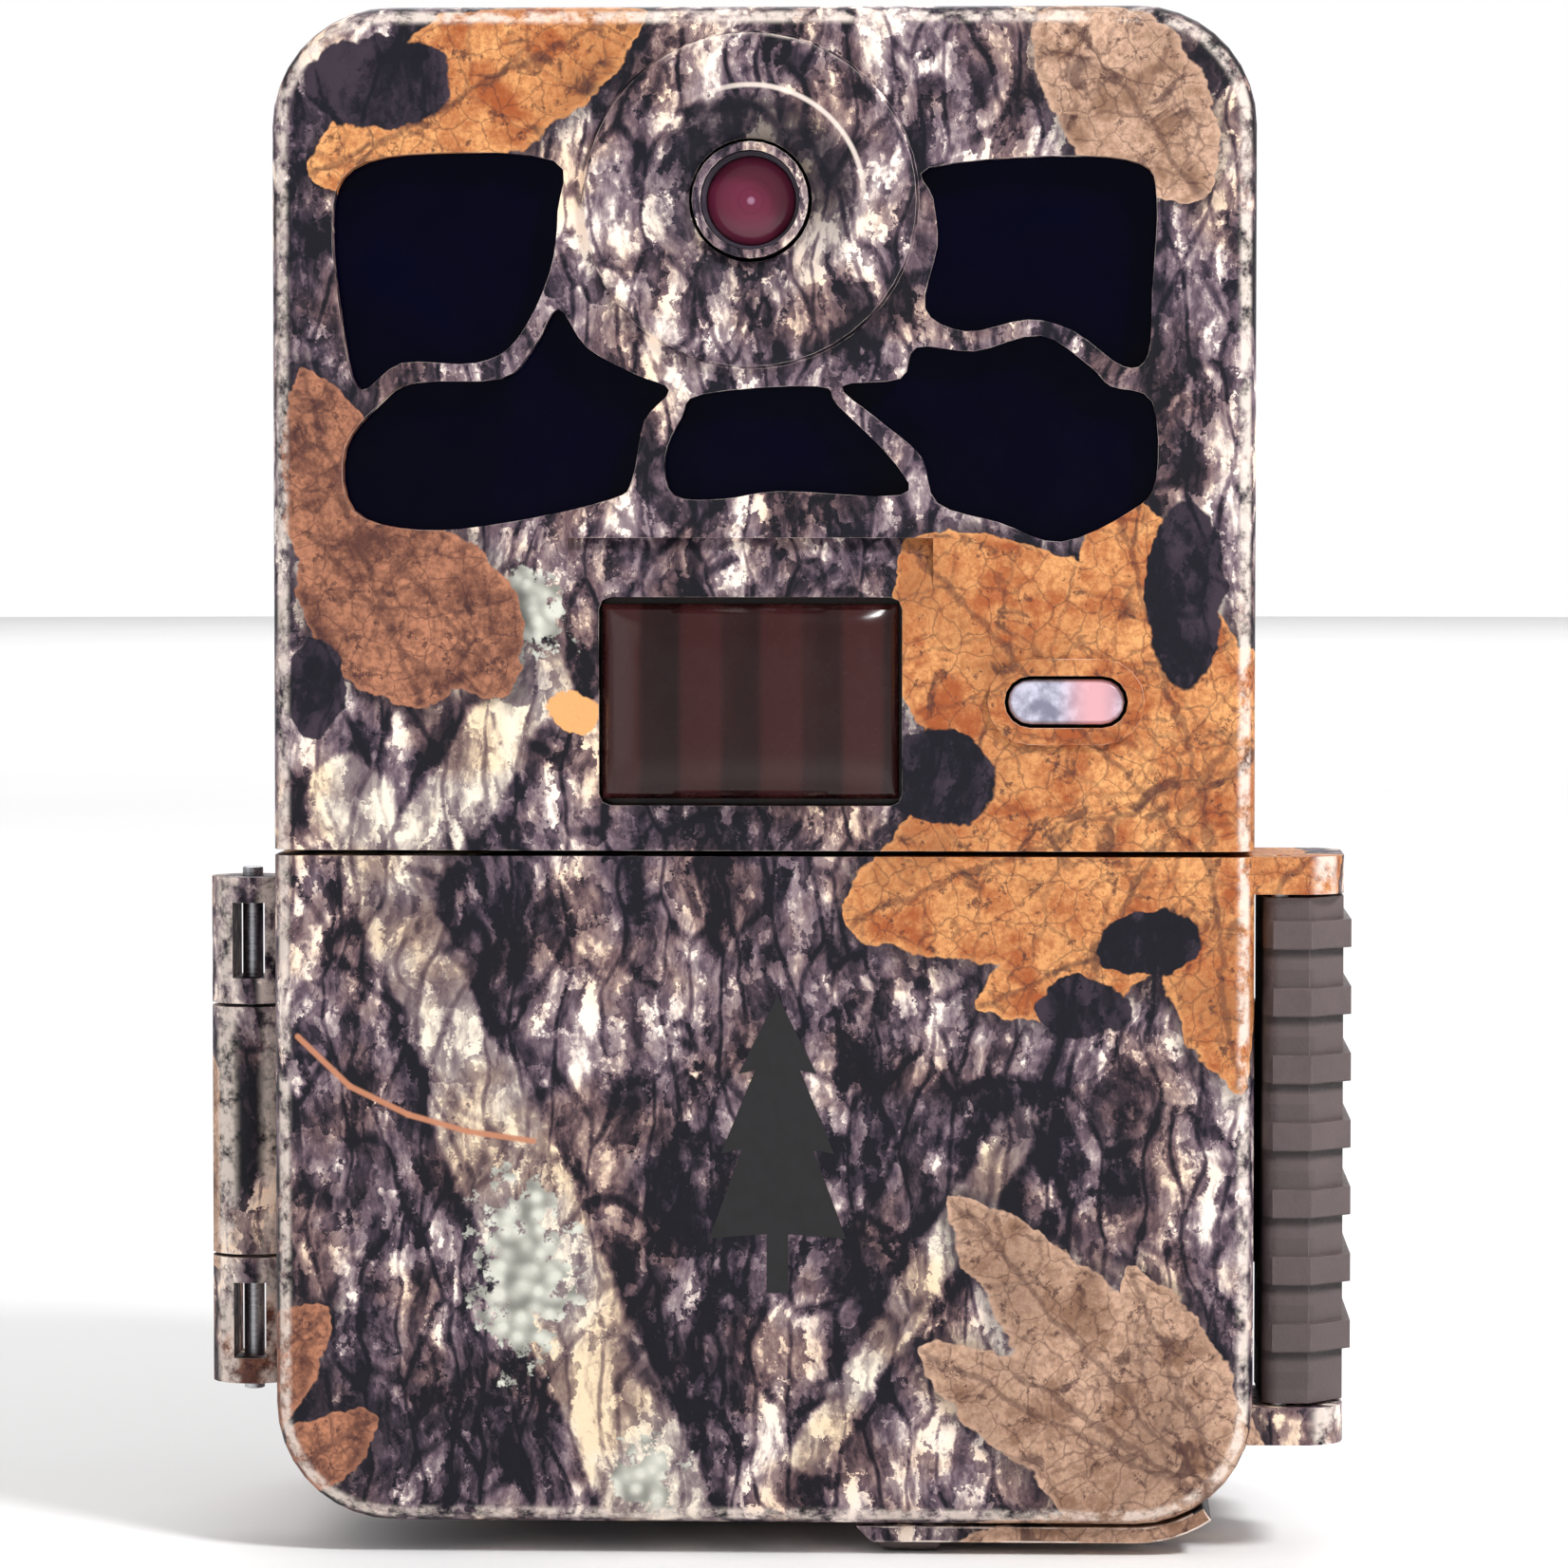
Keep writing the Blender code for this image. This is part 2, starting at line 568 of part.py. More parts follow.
def make_rear_housing():
    outside = rounded(-HALF, HALF, 0, BODY_HEIGHT, CORNER)
    shell = prism("rear_housing", [outside], "Y", REAR_START, REAR_DEPTH, "camo")
    round_edges(shell, REAR_DEPTH, BACK_ROUND, 3)
    inside = rounded(-INNER_HALF, INNER_HALF, WALL, BODY_HEIGHT - WALL, CORNER - WALL)
    cut(shell, prism("rear_inside", [inside], "Y", -MM, BACK_INSIDE))

    posts, wells, clearances = [], [], []
    for index, (x, z, seat) in enumerate(screw_places()):
        place = (x, 0, z)
        posts.append(round_bar(f"post_{index}", "Y", place, seat - 3 * MM, REAR_DEPTH - MM, POST_RADIUS))
        wells.append(round_bar(f"well_{index}", "Y", place, seat, REAR_DEPTH + MM, WELL_RADIUS))
        clearances.append(round_bar(f"clearance_{index}", "Y", place, seat - 4 * MM, seat + MM,
                                    SCREW_RADIUS + GAP, sides=12))
    keeper = box("keeper", (HALF - MM, 1.2 * MM, LATCH_LOW + 10 * MM),
                 (HALF + KEEPER_OUT, 3.8 * MM, LATCH_HIGH - 10 * MM), bevel=0.4 * MM)
    boss = box("bracket_boss", (-BOSS_HALF + GAP, REAR_DEPTH - MM, PIVOT_Z - 5 * MM),
               (BOSS_HALF - GAP, PIVOT_Y, PIVOT_Z + 5 * MM))
    boss_round = round_bar("bracket_boss_round", "X", (0, PIVOT_Y, PIVOT_Z), -BOSS_HALF + GAP,
                           BOSS_HALF - GAP, 5 * MM, sides=24)
    tripod = round_bar("tripod_boss", "Z", (TRIPOD_X, SOCKET_Y, 0), MM, TRIPOD_DEPTH,
                       TRIPOD_INSERT + 1.5 * MM)
    fuse(shell, *posts, keeper, boss, boss_round, tripod)

    ends = ((HINGE_LOW, HINGE_LOW + REAR_KNUCKLE), (HINGE_HIGH - REAR_KNUCKLE, HINGE_HIGH))
    for index, (low, high) in enumerate(ends):
        barrel = round_bar(f"rear_knuckle_{index}", "Z", (HINGE_X, HINGE_Y, 0), low, high, KNUCKLE_RADIUS)
        arm = box(f"rear_arm_{index}", (HINGE_X, 0.45 * MM, low), (-HALF + MM, 2.4 * MM, high))
        fuse(shell, barrel, arm)
        middle = (low + high) / 2
        reach = KNUCKLE_WINDOW / 2
        cut(shell, box(f"knuckle_window_{index}", (HINGE_X - KNUCKLE_WINDOW_HALF, -5 * MM, middle - reach),
                       (HINGE_X + KNUCKLE_WINDOW_HALF, 5 * MM, middle + reach)))
    pin_hole = round_bar("hinge_hole", "Z", (HINGE_X, HINGE_Y, 0), HINGE_LOW - MM, HINGE_HIGH + MM,
                         HINGE_PIN_RADIUS + HINGE_PIN_CLEAR, sides=16)
    tray_hole = box("tray_hole", (TRAY_LEFT - GAP, TRAY_FRONT - GAP, -MM),
                    (TRAY_RIGHT + GAP, TRAY_BACK + GAP, 7 * MM))
    pivot_hole = round_bar("pivot_hole", "X", (0, PIVOT_Y, PIVOT_Z), -BOSS_HALF, BOSS_HALF,
                           PIVOT_RADIUS + PIVOT_CLEAR)
    insert_hole = round_bar("insert_hole", "Z", (TRIPOD_X, SOCKET_Y, 0), -MM, TRIPOD_DEPTH + MM,
                            TRIPOD_INSERT + GAP)
    jack_hole = round_bar("jack_hole", "Z", (JACK_X, SOCKET_Y, 0), -MM, WALL + MM, JACK_BORE)
    jack_recess = round_bar("jack_recess", "Z", (JACK_X, SOCKET_Y, 0), -MM, MM, PLUG_HEAD + GAP)
    cut(shell, *wells, *clearances, pin_hole, tray_hole, pivot_hole, insert_hole, jack_hole, jack_recess)


def screw_places():
    """(x, z, where the head seats) of the four case screws. The lower pair goes into the deck."""
    return (
        (-SCREW_X, TOP_SCREW_Z, 4 * MM), (SCREW_X, TOP_SCREW_Z, 4 * MM),
        (-SCREW_X, LOW_SCREW_Z, 14 * MM), (TRAY_LEFT - 5.5 * MM, LOW_SCREW_Z, 14 * MM),
    )


def make_screws():
    for index, (x, z, seat) in enumerate(screw_places(), 1):
        start = seat + GAP
        screw = turned(
            f"case_screw_{index}",
            [(0, start + SCREW_HEAD), (SCREW_HEAD_RADIUS, start + SCREW_HEAD), (SCREW_HEAD_RADIUS, start),
             (SCREW_RADIUS, start), (SCREW_RADIUS, start - SCREW_LENGTH + MM), (0, start - SCREW_LENGTH)],
            (x, 0, z), "Y", "steel", steps=12,
        )
        top = start + SCREW_HEAD
        slots = [
            box(f"drive_{index}_{k}", (x - a, top - MM, z - b), (x + a, top + MM, z + b))
            for k, (a, b) in enumerate(((1.7 * MM, 0.35 * MM), (0.35 * MM, 1.7 * MM)))
        ]
        cut(screw, *slots)


# ---------------------------------------------------------------- optics and electronics

def barrel_notch(name, y):
    """Two cutters that open a sheet at y upwards round the lens barrel."""
    reach = BARREL_RADIUS + NOTCH_CLEAR
    return (
        round_bar(name + "_notch", "Y", (OPTICS_X, 0, LENS_Z), y - MM, y + 3 * MM, reach, sides=24),
        box(name + "_gate", (OPTICS_X - reach, y - MM, LENS_Z), (OPTICS_X + reach, y + 3 * MM, BODY_HEIGHT)),
    )


def make_filter():
    left, right, low, high = window_area()
    panel = box("ir_filter_window", (left - FILTER_LAP, FILTER_Y, low - FILTER_LAP),
                (right + FILTER_LAP, FILTER_Y + FILTER_THICK, high + FILTER_LAP), "gloss_black")
    cut(panel, *barrel_notch("filter", FILTER_Y))


def make_led_board():
    left, right, low, high = window_area()
    board = box("infrared_led_board", (left + MM, LED_BOARD_Y, low + MM),
                (right - MM, LED_BOARD_Y + 1.4 * MM, high - MM), "board_green")
    leds = []
    pitch = (right - left - 10 * MM) / (LED_COLUMNS - 1)
    for row, rise in enumerate((6 * MM, 13 * MM)):
        for column in range(LED_COLUMNS):
            x = left + 5 * MM + column * pitch
            leds.append(round_bar(f"led_{row}_{column}", "Y", (x, 0, low + rise), LED_BOARD_Y - 1.2 * MM,
                                  LED_BOARD_Y + 0.4 * MM, LED_RADIUS, sides=8))
    fuse(board, *leds)
    cut(board, *barrel_notch("board", LED_BOARD_Y))


def make_camera_module():
    place = (OPTICS_X, 0, LENS_Z)
    barrel_front = FACE_Y - BARREL_PROUD
    barrel_back = MAIN_BOARD_Y - GAP
    barrel = round_bar("lens_barrel", "Y", place, barrel_front, barrel_back, BARREL_RADIUS,
                       "black_plastic", sides=28)
    glass_front = barrel_front + GLASS_INSET
    fuse(barrel, box("lens_holder", (OPTICS_X - 6.5 * MM, barrel_back - 4 * MM, LENS_Z - 6.5 * MM),
                     (OPTICS_X + 6.5 * MM, barrel_back, LENS_Z + 6.5 * MM)))
    cut(barrel,
        round_bar("barrel_mouth", "Y", place, barrel_front - MM, glass_front - 0.6 * MM, BORE_RADIUS,
                  sides=28),
        round_bar("barrel_bore", "Y", place, barrel_front - MM, barrel_back + MM, IRIS_RADIUS, sides=28))
    rim = IRIS_RADIUS - GAP
    top = -glass_front
    turned("lens_glass",
           [(0, top), (rim / 2, top - 0.15 * MM), (rim, top - 0.7 * MM), (rim, top - 2.2 * MM),
            (0, top - 2.2 * MM)],
           (OPTICS_X, 0, LENS_Z), "-Y", "lens_glass", steps=24)
    box("image_sensor", (OPTICS_X - 2.1 * MM, barrel_back - MM, LENS_Z - 2.1 * MM),
        (OPTICS_X + 2.1 * MM, barrel_back, LENS_Z + 2.1 * MM), "black_plastic")


def bulge_outline(inset):
    """The motion lens seen from above: flat at the back and curved at the front, set in by inset."""
    half = MOTION_WIDTH / 2 - GAP - inset
    edge = FACE_Y + 0.4 * MM + inset
    rise = MOTION_BULGE
    radius = (half * half + rise * rise) / (2 * rise)
    sweep = math.degrees(math.asin(half / radius))
    centre = (OPTICS_X, edge - rise + radius)
    back = INSIDE_Y + GAP + (3 * MM if inset else MM)
    front = arc(centre, radius, -90 - sweep, -90 + sweep, 12)
    return [(OPTICS_X + half, back), (OPTICS_X - half, back)] + front


def make_motion_sensor():
    high = MOTION_HEIGHT / 2 - GAP
    lens = prism("motion_lens", [bulge_outline(0)], "Z", MOTION_Z - high, MOTION_Z + high, "motion_brown")
    lap = 1.4 * MM
    wide = MOTION_WIDTH / 2 + lap
    flange = box("motion_flange", (OPTICS_X - wide, INSIDE_Y + GAP, MOTION_Z - high - lap),
                 (OPTICS_X + wide, INSIDE_Y + 1.2 * MM, MOTION_Z + high + lap))
    fuse(lens, flange)
    cut(lens, prism("motion_inside", [bulge_outline(MOTION_WALL)], "Z", MOTION_Z - high + MOTION_WALL,
                    MOTION_Z + high - MOTION_WALL))
    board = MAIN_BOARD_Y - GAP
    round_bar("motion_sensor", "Y", (OPTICS_X, 0, MOTION_Z), board - 3.8 * MM, board, 4.6 * MM, "steel",
              sides=24)


def make_status_light():
    place = (OPTICS_X + LIGHT_OFFSET, MOTION_Z)
    outline = oval(*place, LIGHT_LENGTH - 2 * GAP, LIGHT_HEIGHT - 2 * GAP)
    lens = prism("indicator_lens", [outline], "Y", FACE_Y - 0.2 * MM, INSIDE_Y + 2 * MM, "clear")
    round_edges(lens, FACE_Y - 0.2 * MM, 0.4 * MM, 2)
    box("status_led", (place[0] - 1.5 * MM, MAIN_BOARD_Y - 1.6 * MM, place[1] - MM),
        (place[0] + 1.5 * MM, MAIN_BOARD_Y - GAP, place[1] + MM), "clear")


def make_main_board():
    reach = INNER_HALF - 3 * MM
    board = box("main_board", (-reach, MAIN_BOARD_Y, UPPER_LOW + 5 * MM),
                (reach, MAIN_BOARD_Y + BOARD, TOP_SCREW_Z - 5 * MM), "board_green")
    front = MAIN_BOARD_Y - 1.2 * MM
    back = MAIN_BOARD_Y + MM
    chips = [
        box("processor", (-22 * MM, front, MOTION_Z + 14 * MM), (-10 * MM, back, MOTION_Z + 26 * MM)),
        box("memory_chip", (10 * MM, front, MOTION_Z + 16 * MM), (20 * MM, back, MOTION_Z + 22 * MM)),
    ]
    fuse(board, *chips)


# ---------------------------------------------------------------- control deck

def deck_edges():
    reach = INNER_HALF - DECK_GAP
    return -reach, reach, WALL + 1.2 * MM, DOOR_HEIGHT - WALL - DECK_GAP


def button_places():
    return {
        "button_up": (KEYPAD_X, KEYPAD_Z + BUTTON_PITCH),
        "button_down": (KEYPAD_X, KEYPAD_Z - BUTTON_PITCH),
        "button_left": (KEYPAD_X - BUTTON_PITCH, KEYPAD_Z),
        "button_right": (KEYPAD_X + BUTTON_PITCH, KEYPAD_Z),
        "button_ok": (KEYPAD_X, KEYPAD_Z),
        "button_mode": (KEYPAD_X + MODE_OFFSET, KEYPAD_Z + BUTTON_PITCH),
    }


def screen_corner():
    return deck_edges()[0] + SCREEN_INSET, SCREEN_RISE


def make_deck():
    left, right, low, high = deck_edges()
    corner = CORNER - WALL - DECK_GAP
    outside = rounded(left, right, low, high, corner, 2 * MM)
    deck = prism("control_deck", [outside], "Y", DECK_FRONT, SKIRT_BACK, "black_plastic")
    rim = 1.2 * MM
    inside = rounded(left + rim, right - rim, low + rim, high - rim, corner - rim, MM)
    cut(deck, prism("deck_inside", [inside], "Y", DECK_BACK, SKIRT_BACK + MM))
    posts = [
        round_bar(f"deck_post_{index}", "Y", (x, 0, z), DECK_BACK - 0.5 * MM, seat - 3 * MM - GAP,
                  PILOT_RADIUS + MM, sides=16)
        for index, (x, z, seat) in enumerate(screw_places()[2:])
    ]
    fuse(deck, *posts)
    pilots = [
        round_bar(f"deck_pilot_{index}", "Y", (x, 0, z), DECK_BACK + MM, seat, PILOT_RADIUS, sides=12)
        for index, (x, z, seat) in enumerate(screw_places()[2:])
    ]
    x, z = screen_corner()
    front = DECK_FRONT - MM
    back = DECK_BACK + MM
    openings = [box("screen_opening", (x, front, z), (x + SCREEN_WIDTH, back, z + SCREEN_HEIGHT))]
    for name, (bx, bz) in button_places().items():
        half = BUTTON / 2 + GAP
        openings.append(box(name + "_opening", (bx - half, front, bz - half), (bx + half, back, bz + half)))
    reach = (SWITCH_TRAVEL + SWITCH_KNOB) / 2 + GAP
    tall = SWITCH_TALL / 2 + GAP
    openings.append(box("switch_opening", (KEYPAD_X - reach, front, SWITCH_Z - tall),
                        (KEYPAD_X + reach, back, SWITCH_Z + tall)))
    card_x = card_left()
    thin = CARD_THICK / 2 + GAP
    openings.append(box("card_opening", (card_x - GAP, front, CARD_Z - thin),
                        (card_x + CARD_WIDTH + GAP, back, CARD_Z + thin)))
    cut(deck, *pilots, *openings)

    inset = 1.2 * MM
    width = 1.5 * MM
    rings = [
        rounded(left + k, right - k, low + k, high - k, corner - k, 2 * MM, steps=5)
        for k in (inset, inset + width)
    ]
    prism("door_seal", rings, "Y", DECK_FRONT - GAP - 1.2 * MM, DECK_FRONT - GAP, "rubber")
    box("keypad_board", (KEYPAD_X - 11 * MM, -0.2 * MM, 9 * MM), (right - 3 * MM, 1.2 * MM, high - 3 * MM),
        "board_green")


def make_screen():
    x, z = screen_corner()
    box("display_screen", (x + GAP, DECK_FRONT + GAP, z + GAP),
        (x + SCREEN_WIDTH - GAP, DECK_FRONT + 2.8 * MM, z + SCREEN_HEIGHT - GAP), "screen")


def make_buttons():
    for name, (x, z) in button_places().items():
        joint = make_joint(name + "_axis", (x, DECK_FRONT, z))
        half = BUTTON / 2
        button = box(name, (x - half, DECK_FRONT - BUTTON_PROUD, z - half), (x + half, -MM, z + half),
                     "button_grey", bevel=0.7 * MM)
        move_to(joint, button)


def make_switch():
    x = KEYPAD_X - SWITCH_TRAVEL / 2
    joint = make_joint("power_switch_axis", (x, DECK_FRONT, SWITCH_Z))
    half, tall = SWITCH_KNOB / 2, SWITCH_TALL / 2
    knob = box("power_switch", (x - half, DECK_FRONT - 2 * MM, SWITCH_Z - tall),
               (x + half, -MM, SWITCH_Z + tall), "button_grey", bevel=0.5 * MM)
    move_to(joint, knob)


def card_left():
    return deck_edges()[0] + 5 * MM


def make_card():
    x = card_left()
    front = DECK_FRONT - CARD_PROUD
    joint = make_joint("memory_card_axis", (x + CARD_WIDTH / 2, front, CARD_Z))
    bevel = 3 * MM
    outline = [(x, front), (x + CARD_WIDTH, front), (x + CARD_WIDTH, front + CARD_LENGTH - bevel),
               (x + CARD_WIDTH - bevel, front + CARD_LENGTH), (x, front + CARD_LENGTH)]
    thin = CARD_THICK / 2
    card = prism("memory_card", [outline], "Z", CARD_Z - thin, CARD_Z + thin, "card_blue")
    move_to(joint, card)
    wall = 0.8 * MM
    tall = CARD_THICK / 2 + GAP
    back = front + CARD_LENGTH + 2 * MM
    socket = box("memory_card_socket", (x - GAP - wall, DECK_BACK + GAP, CARD_Z - tall - wall),
                 (x + CARD_WIDTH + GAP + wall, back + wall, CARD_Z + tall + wall), "steel")
    cut(socket, box("card_slot", (x - GAP, DECK_BACK - MM, CARD_Z - tall),
                    (x + CARD_WIDTH + GAP, back, CARD_Z + tall)))


# ---------------------------------------------------------------- door, hinge and latch

def make_door():
    hinge = make_joint("door_hinge_axis", (HINGE_X, HINGE_Y, 0))
    door = case_shell("front_door", 0, DOOR_HEIGHT, CORNER, 0, DOOR_HEIGHT)
    low = HINGE_LOW + REAR_KNUCKLE + GAP
    high = HINGE_HIGH - REAR_KNUCKLE - GAP
    barrel = round_bar("door_knuckle", "Z", (HINGE_X, HINGE_Y, 0), low, high, KNUCKLE_RADIUS)
    arm = box("door_arm", (HINGE_X, -2.25 * MM, low), (-HALF + MM, -GAP, high))
    ears = [
        prism(name, [ear_outline()], "Z", low_z, low_z + EAR_THICK)
        for name, low_z in (("low_ear", LATCH_LOW - GAP - EAR_THICK), ("high_ear", LATCH_HIGH + GAP))
    ]
    fuse(door, barrel, arm, *ears)
    cut(door,
        round_bar("door_pin_hole", "Z", (HINGE_X, HINGE_Y, 0), low - MM, high + MM,
                  HINGE_PIN_RADIUS + HINGE_PIN_CLEAR, sides=16),
        round_bar("ear_hole", "Z", (LATCH_X, LATCH_PIVOT_Y, 0), LATCH_LOW - 10 * MM, LATCH_HIGH + 10 * MM,
                  LATCH_PIN_RADIUS + LATCH_PIN_CLEAR, sides=12))
    latch_pin = round_bar("latch_pin", "Z", (LATCH_X, LATCH_PIVOT_Y, 0), LATCH_LOW - EAR_THICK,
                          LATCH_HIGH + EAR_THICK, LATCH_PIN_RADIUS, "steel", sides=12)
    move_to(hinge, door, latch_pin)
    round_bar("hinge_pin", "Z", (HINGE_X, HINGE_Y, 0), HINGE_LOW - 0.8 * MM, HINGE_HIGH + 0.8 * MM,
              HINGE_PIN_RADIUS, "steel", sides=16)
    return hinge


def ear_outline():
    out = HALF + LATCH_REACH
    front = LATCH_PIVOT_Y - 2 * MM
    corner = arc((out - 3.6 * MM, front + 3.6 * MM), 3.6 * MM, -80, 0, 4)
    back = [(out, -4 * MM), (out - 2 * MM, -2 * MM), (HALF - MM, -2 * MM)]
    return [(HALF - MM, front), (out - 4 * MM, front)] + corner + back


def latch_outline():
    """The latch seen from above: round the pin, a front facet, a chamfer, the outer side and the nose."""
    out = HALF + LATCH_REACH
    front = LATCH_PIVOT_Y - LATCH_BARREL
    pocket = HALF + KEEPER_OUT + 0.5 * MM
    return arc((LATCH_X, LATCH_PIVOT_Y), LATCH_BARREL, 180, 270, 5) + [
        (out - 3.0 * MM, front), (out, front + 3.6 * MM), (out, LATCH_BACK - 3 * MM),
        (out - 1.6 * MM, LATCH_BACK), (pocket, LATCH_BACK), (pocket, -MM), (HALF + 0.5 * MM, -2.4 * MM),
    ]


def rib_outline():
    """A rib stands a little out of the front facet, so that it clears the door, and more at the side."""
    out = HALF + LATCH_REACH
    front = LATCH_PIVOT_Y - LATCH_BARREL
    side = out + RIB_PROUD
    return [
        (LATCH_X - 0.6 * MM, front + 0.4 * MM), (LATCH_X - 0.6 * MM, front - RIB_FRONT_PROUD),
        (out - 2.8 * MM, front - RIB_FRONT_PROUD), (side, front + 3.2 * MM), (side, LATCH_BACK - 4 * MM),
        (out - MM, LATCH_BACK - 2.4 * MM), (out - 2 * MM, LATCH_BACK - 4 * MM),
        (out - 2 * MM, front + 3.6 * MM),
    ]


def make_latch(hinge):
    joint = make_joint("latch_axis", (LATCH_X, LATCH_PIVOT_Y, 0), hinge)
    latch = prism("latch", [latch_outline()], "Z", LATCH_LOW, LATCH_HIGH, "latch_brown")
    middle = (LATCH_LOW + LATCH_HIGH) / 2 + 1.2 * MM
    ribs = []
    for index in range(RIB_COUNT):
        z = middle + (index - (RIB_COUNT - 1) / 2) * RIB_PITCH
        ribs.append(prism(f"rib_{index}", [rib_outline()], "Z", z - RIB_HEIGHT / 2, z + RIB_HEIGHT / 2))
    fuse(latch, *ribs)
    cut(latch, round_bar("latch_bore", "Z", (LATCH_X, LATCH_PIVOT_Y, 0), LATCH_LOW - MM, LATCH_HIGH + MM,
                         LATCH_PIN_RADIUS + LATCH_PIN_CLEAR, sides=12))
    move_to(joint, latch)


# ---------------------------------------------------------------- batteries

def cap_outline():
    """The tray's end cap seen from the front. Its right end follows the case's round corner."""
    radius = CORNER + CAP_DROP
    centre = (HALF - CORNER, CORNER)
    end = -math.degrees(math.acos(min(1.0, (TRAY_RIGHT - centre[0]) / radius)))
    return [(TRAY_LEFT, TRAY_FLOOR), (TRAY_LEFT, 0.5 * MM), (TRAY_LEFT + CAP_CHAMFER, -CAP_DROP)] + arc(
        centre, radius, -90, end, 6) + [(TRAY_RIGHT, TRAY_FLOOR)]


def lip_outline():
    """The cap's thin lip below the door, seen from the front, keeping a gap to the door's round corner."""
    centre = (HALF - CORNER, CORNER)
    end = -math.degrees(math.acos(min(1.0, (TRAY_RIGHT - centre[0]) / (CORNER + CAP_DROP))))
    return [(TRAY_LEFT + CAP_CHAMFER - CAP_DROP + GAP, -GAP), (TRAY_LEFT + CAP_CHAMFER, -CAP_DROP)] + arc(
        centre, CORNER + CAP_DROP, -90, end, 6) + arc(centre, CORNER + GAP, end, -90, 6)


def cell_profile():
    body = CELL_LENGTH - CELL_NUB
    shoulder = 0.6 * MM
    return [
        (0, CELL_LENGTH), (CELL_NUB_RADIUS, CELL_LENGTH), (CELL_NUB_RADIUS, body),
        (CELL_RADIUS - shoulder, body), (CELL_RADIUS, body - shoulder), (CELL_RADIUS, 0), (0, 0),
    ]


def make_tray():
    joint = make_joint("battery_tray_axis", ((TRAY_LEFT + TRAY_RIGHT) / 2, (TRAY_FRONT + TRAY_BACK) / 2, 0))
    tray = box("tray_frame", (TRAY_LEFT, TRAY_FRONT, 0.6 * MM), (TRAY_RIGHT, TRAY_BACK, TRAY_TOP),
               "black_plastic")
    floor = TRAY_FLOOR + 0.5 * MM
    cap = prism("tray_cap", [cap_outline()], "Y", TRAY_FRONT, TRAY_BACK)
    lip_front = FACE_Y + LIP_SETBACK
    lip = prism("tray_lip", [lip_outline()], "Y", lip_front, TRAY_FRONT + MM)
    fuse(tray, cap, lip)
    for layer in range(2):
        low = floor + layer * (CELL_LAYER + TRAY_SHELF)
        cut(tray, box(f"cell_bay_{layer}", (TRAY_LEFT + TRAY_WALL, TRAY_FRONT - MM, low),
                      (TRAY_RIGHT - TRAY_WALL, TRAY_BACK - TRAY_WALL, low + CELL_LAYER)))
    tab_x = TRAY_LEFT + CAP_CHAMFER + 0.6 * MM
    tab_y = lip_front + 1.6 * MM
    tab_top = -CAP_DROP + TAB_SEAT
    cut(tray, box("tab_pocket", (tab_x - GAP, tab_y - GAP, -5 * MM),
                  (tab_x + TAB_WIDTH + TAB_TRAVEL + GAP, tab_y + TAB_DEPTH + GAP, tab_top + GAP)))
    move_to(joint, tray)
    tab_joint = make_joint("tray_release_axis", (tab_x, tab_y, 0), joint)
    tab = box("tray_release_tab", (tab_x, tab_y, -CAP_DROP - TAB_DROP),
              (tab_x + TAB_WIDTH, tab_y + TAB_DEPTH, tab_top), "latch_brown", bevel=0.4 * MM)
    move_to(tab_joint, tab)

    number = 1
    for layer in range(2):
        for column in range(2):
            for row in range(2):
                x = TRAY_LEFT + TRAY_WALL + GAP + CELL_RADIUS + column * (2 * CELL_RADIUS + GAP)
                y = TRAY_FRONT + GAP + TRAY_WALL + CELL_RADIUS + row * (2 * CELL_RADIUS + GAP)
                z = floor + GAP + layer * (CELL_LAYER + TRAY_SHELF)
                cell = turned(f"battery_{number}", cell_profile(), (x, y, z), "Z", "cell", steps=20)
                move_to(joint, cell)
                number += 1
    box("battery_terminal_plate", (TRAY_LEFT + MM, TRAY_FRONT + MM, TRAY_TOP + GAP),
        (TRAY_RIGHT - MM, TRAY_BACK - MM, TRAY_TOP + BOARD), "board_green")


# ---------------------------------------------------------------- underside sockets

def make_sockets():
    place = (TRIPOD_X, SOCKET_Y, 0)
    insert = round_bar("tripod_insert", "Z", place, 0, TRIPOD_DEPTH, TRIPOD_INSERT, "brass", sides=24)
    cut(insert, round_bar("tripod_thread", "Z", place, -MM, TRIPOD_DEPTH + MM, TRIPOD_RADIUS, sides=24))
    place = (JACK_X, SOCKET_Y, 0)
    jack = round_bar("power_jack", "Z", place, WALL + GAP, 12 * MM, JACK_RADIUS, "black_plastic")
    cut(jack, round_bar("jack_bore", "Z", place, WALL - MM, 11 * MM, JACK_BORE))
    joint = make_joint("jack_plug_axis", place)
    plug = turned("power_jack_plug",
                  [(0, 5 * MM), (JACK_BORE - GAP, 5 * MM), (JACK_BORE - GAP, 0.7 * MM),
                   (PLUG_HEAD, 0.7 * MM),
                   (PLUG_HEAD, -0.3 * MM), (PLUG_HEAD - 0.5 * MM, -0.8 * MM), (0, -0.8 * MM)],
                  place, "Z", "rubber")
    move_to(joint, plug)


# ---------------------------------------------------------------- tree bracket

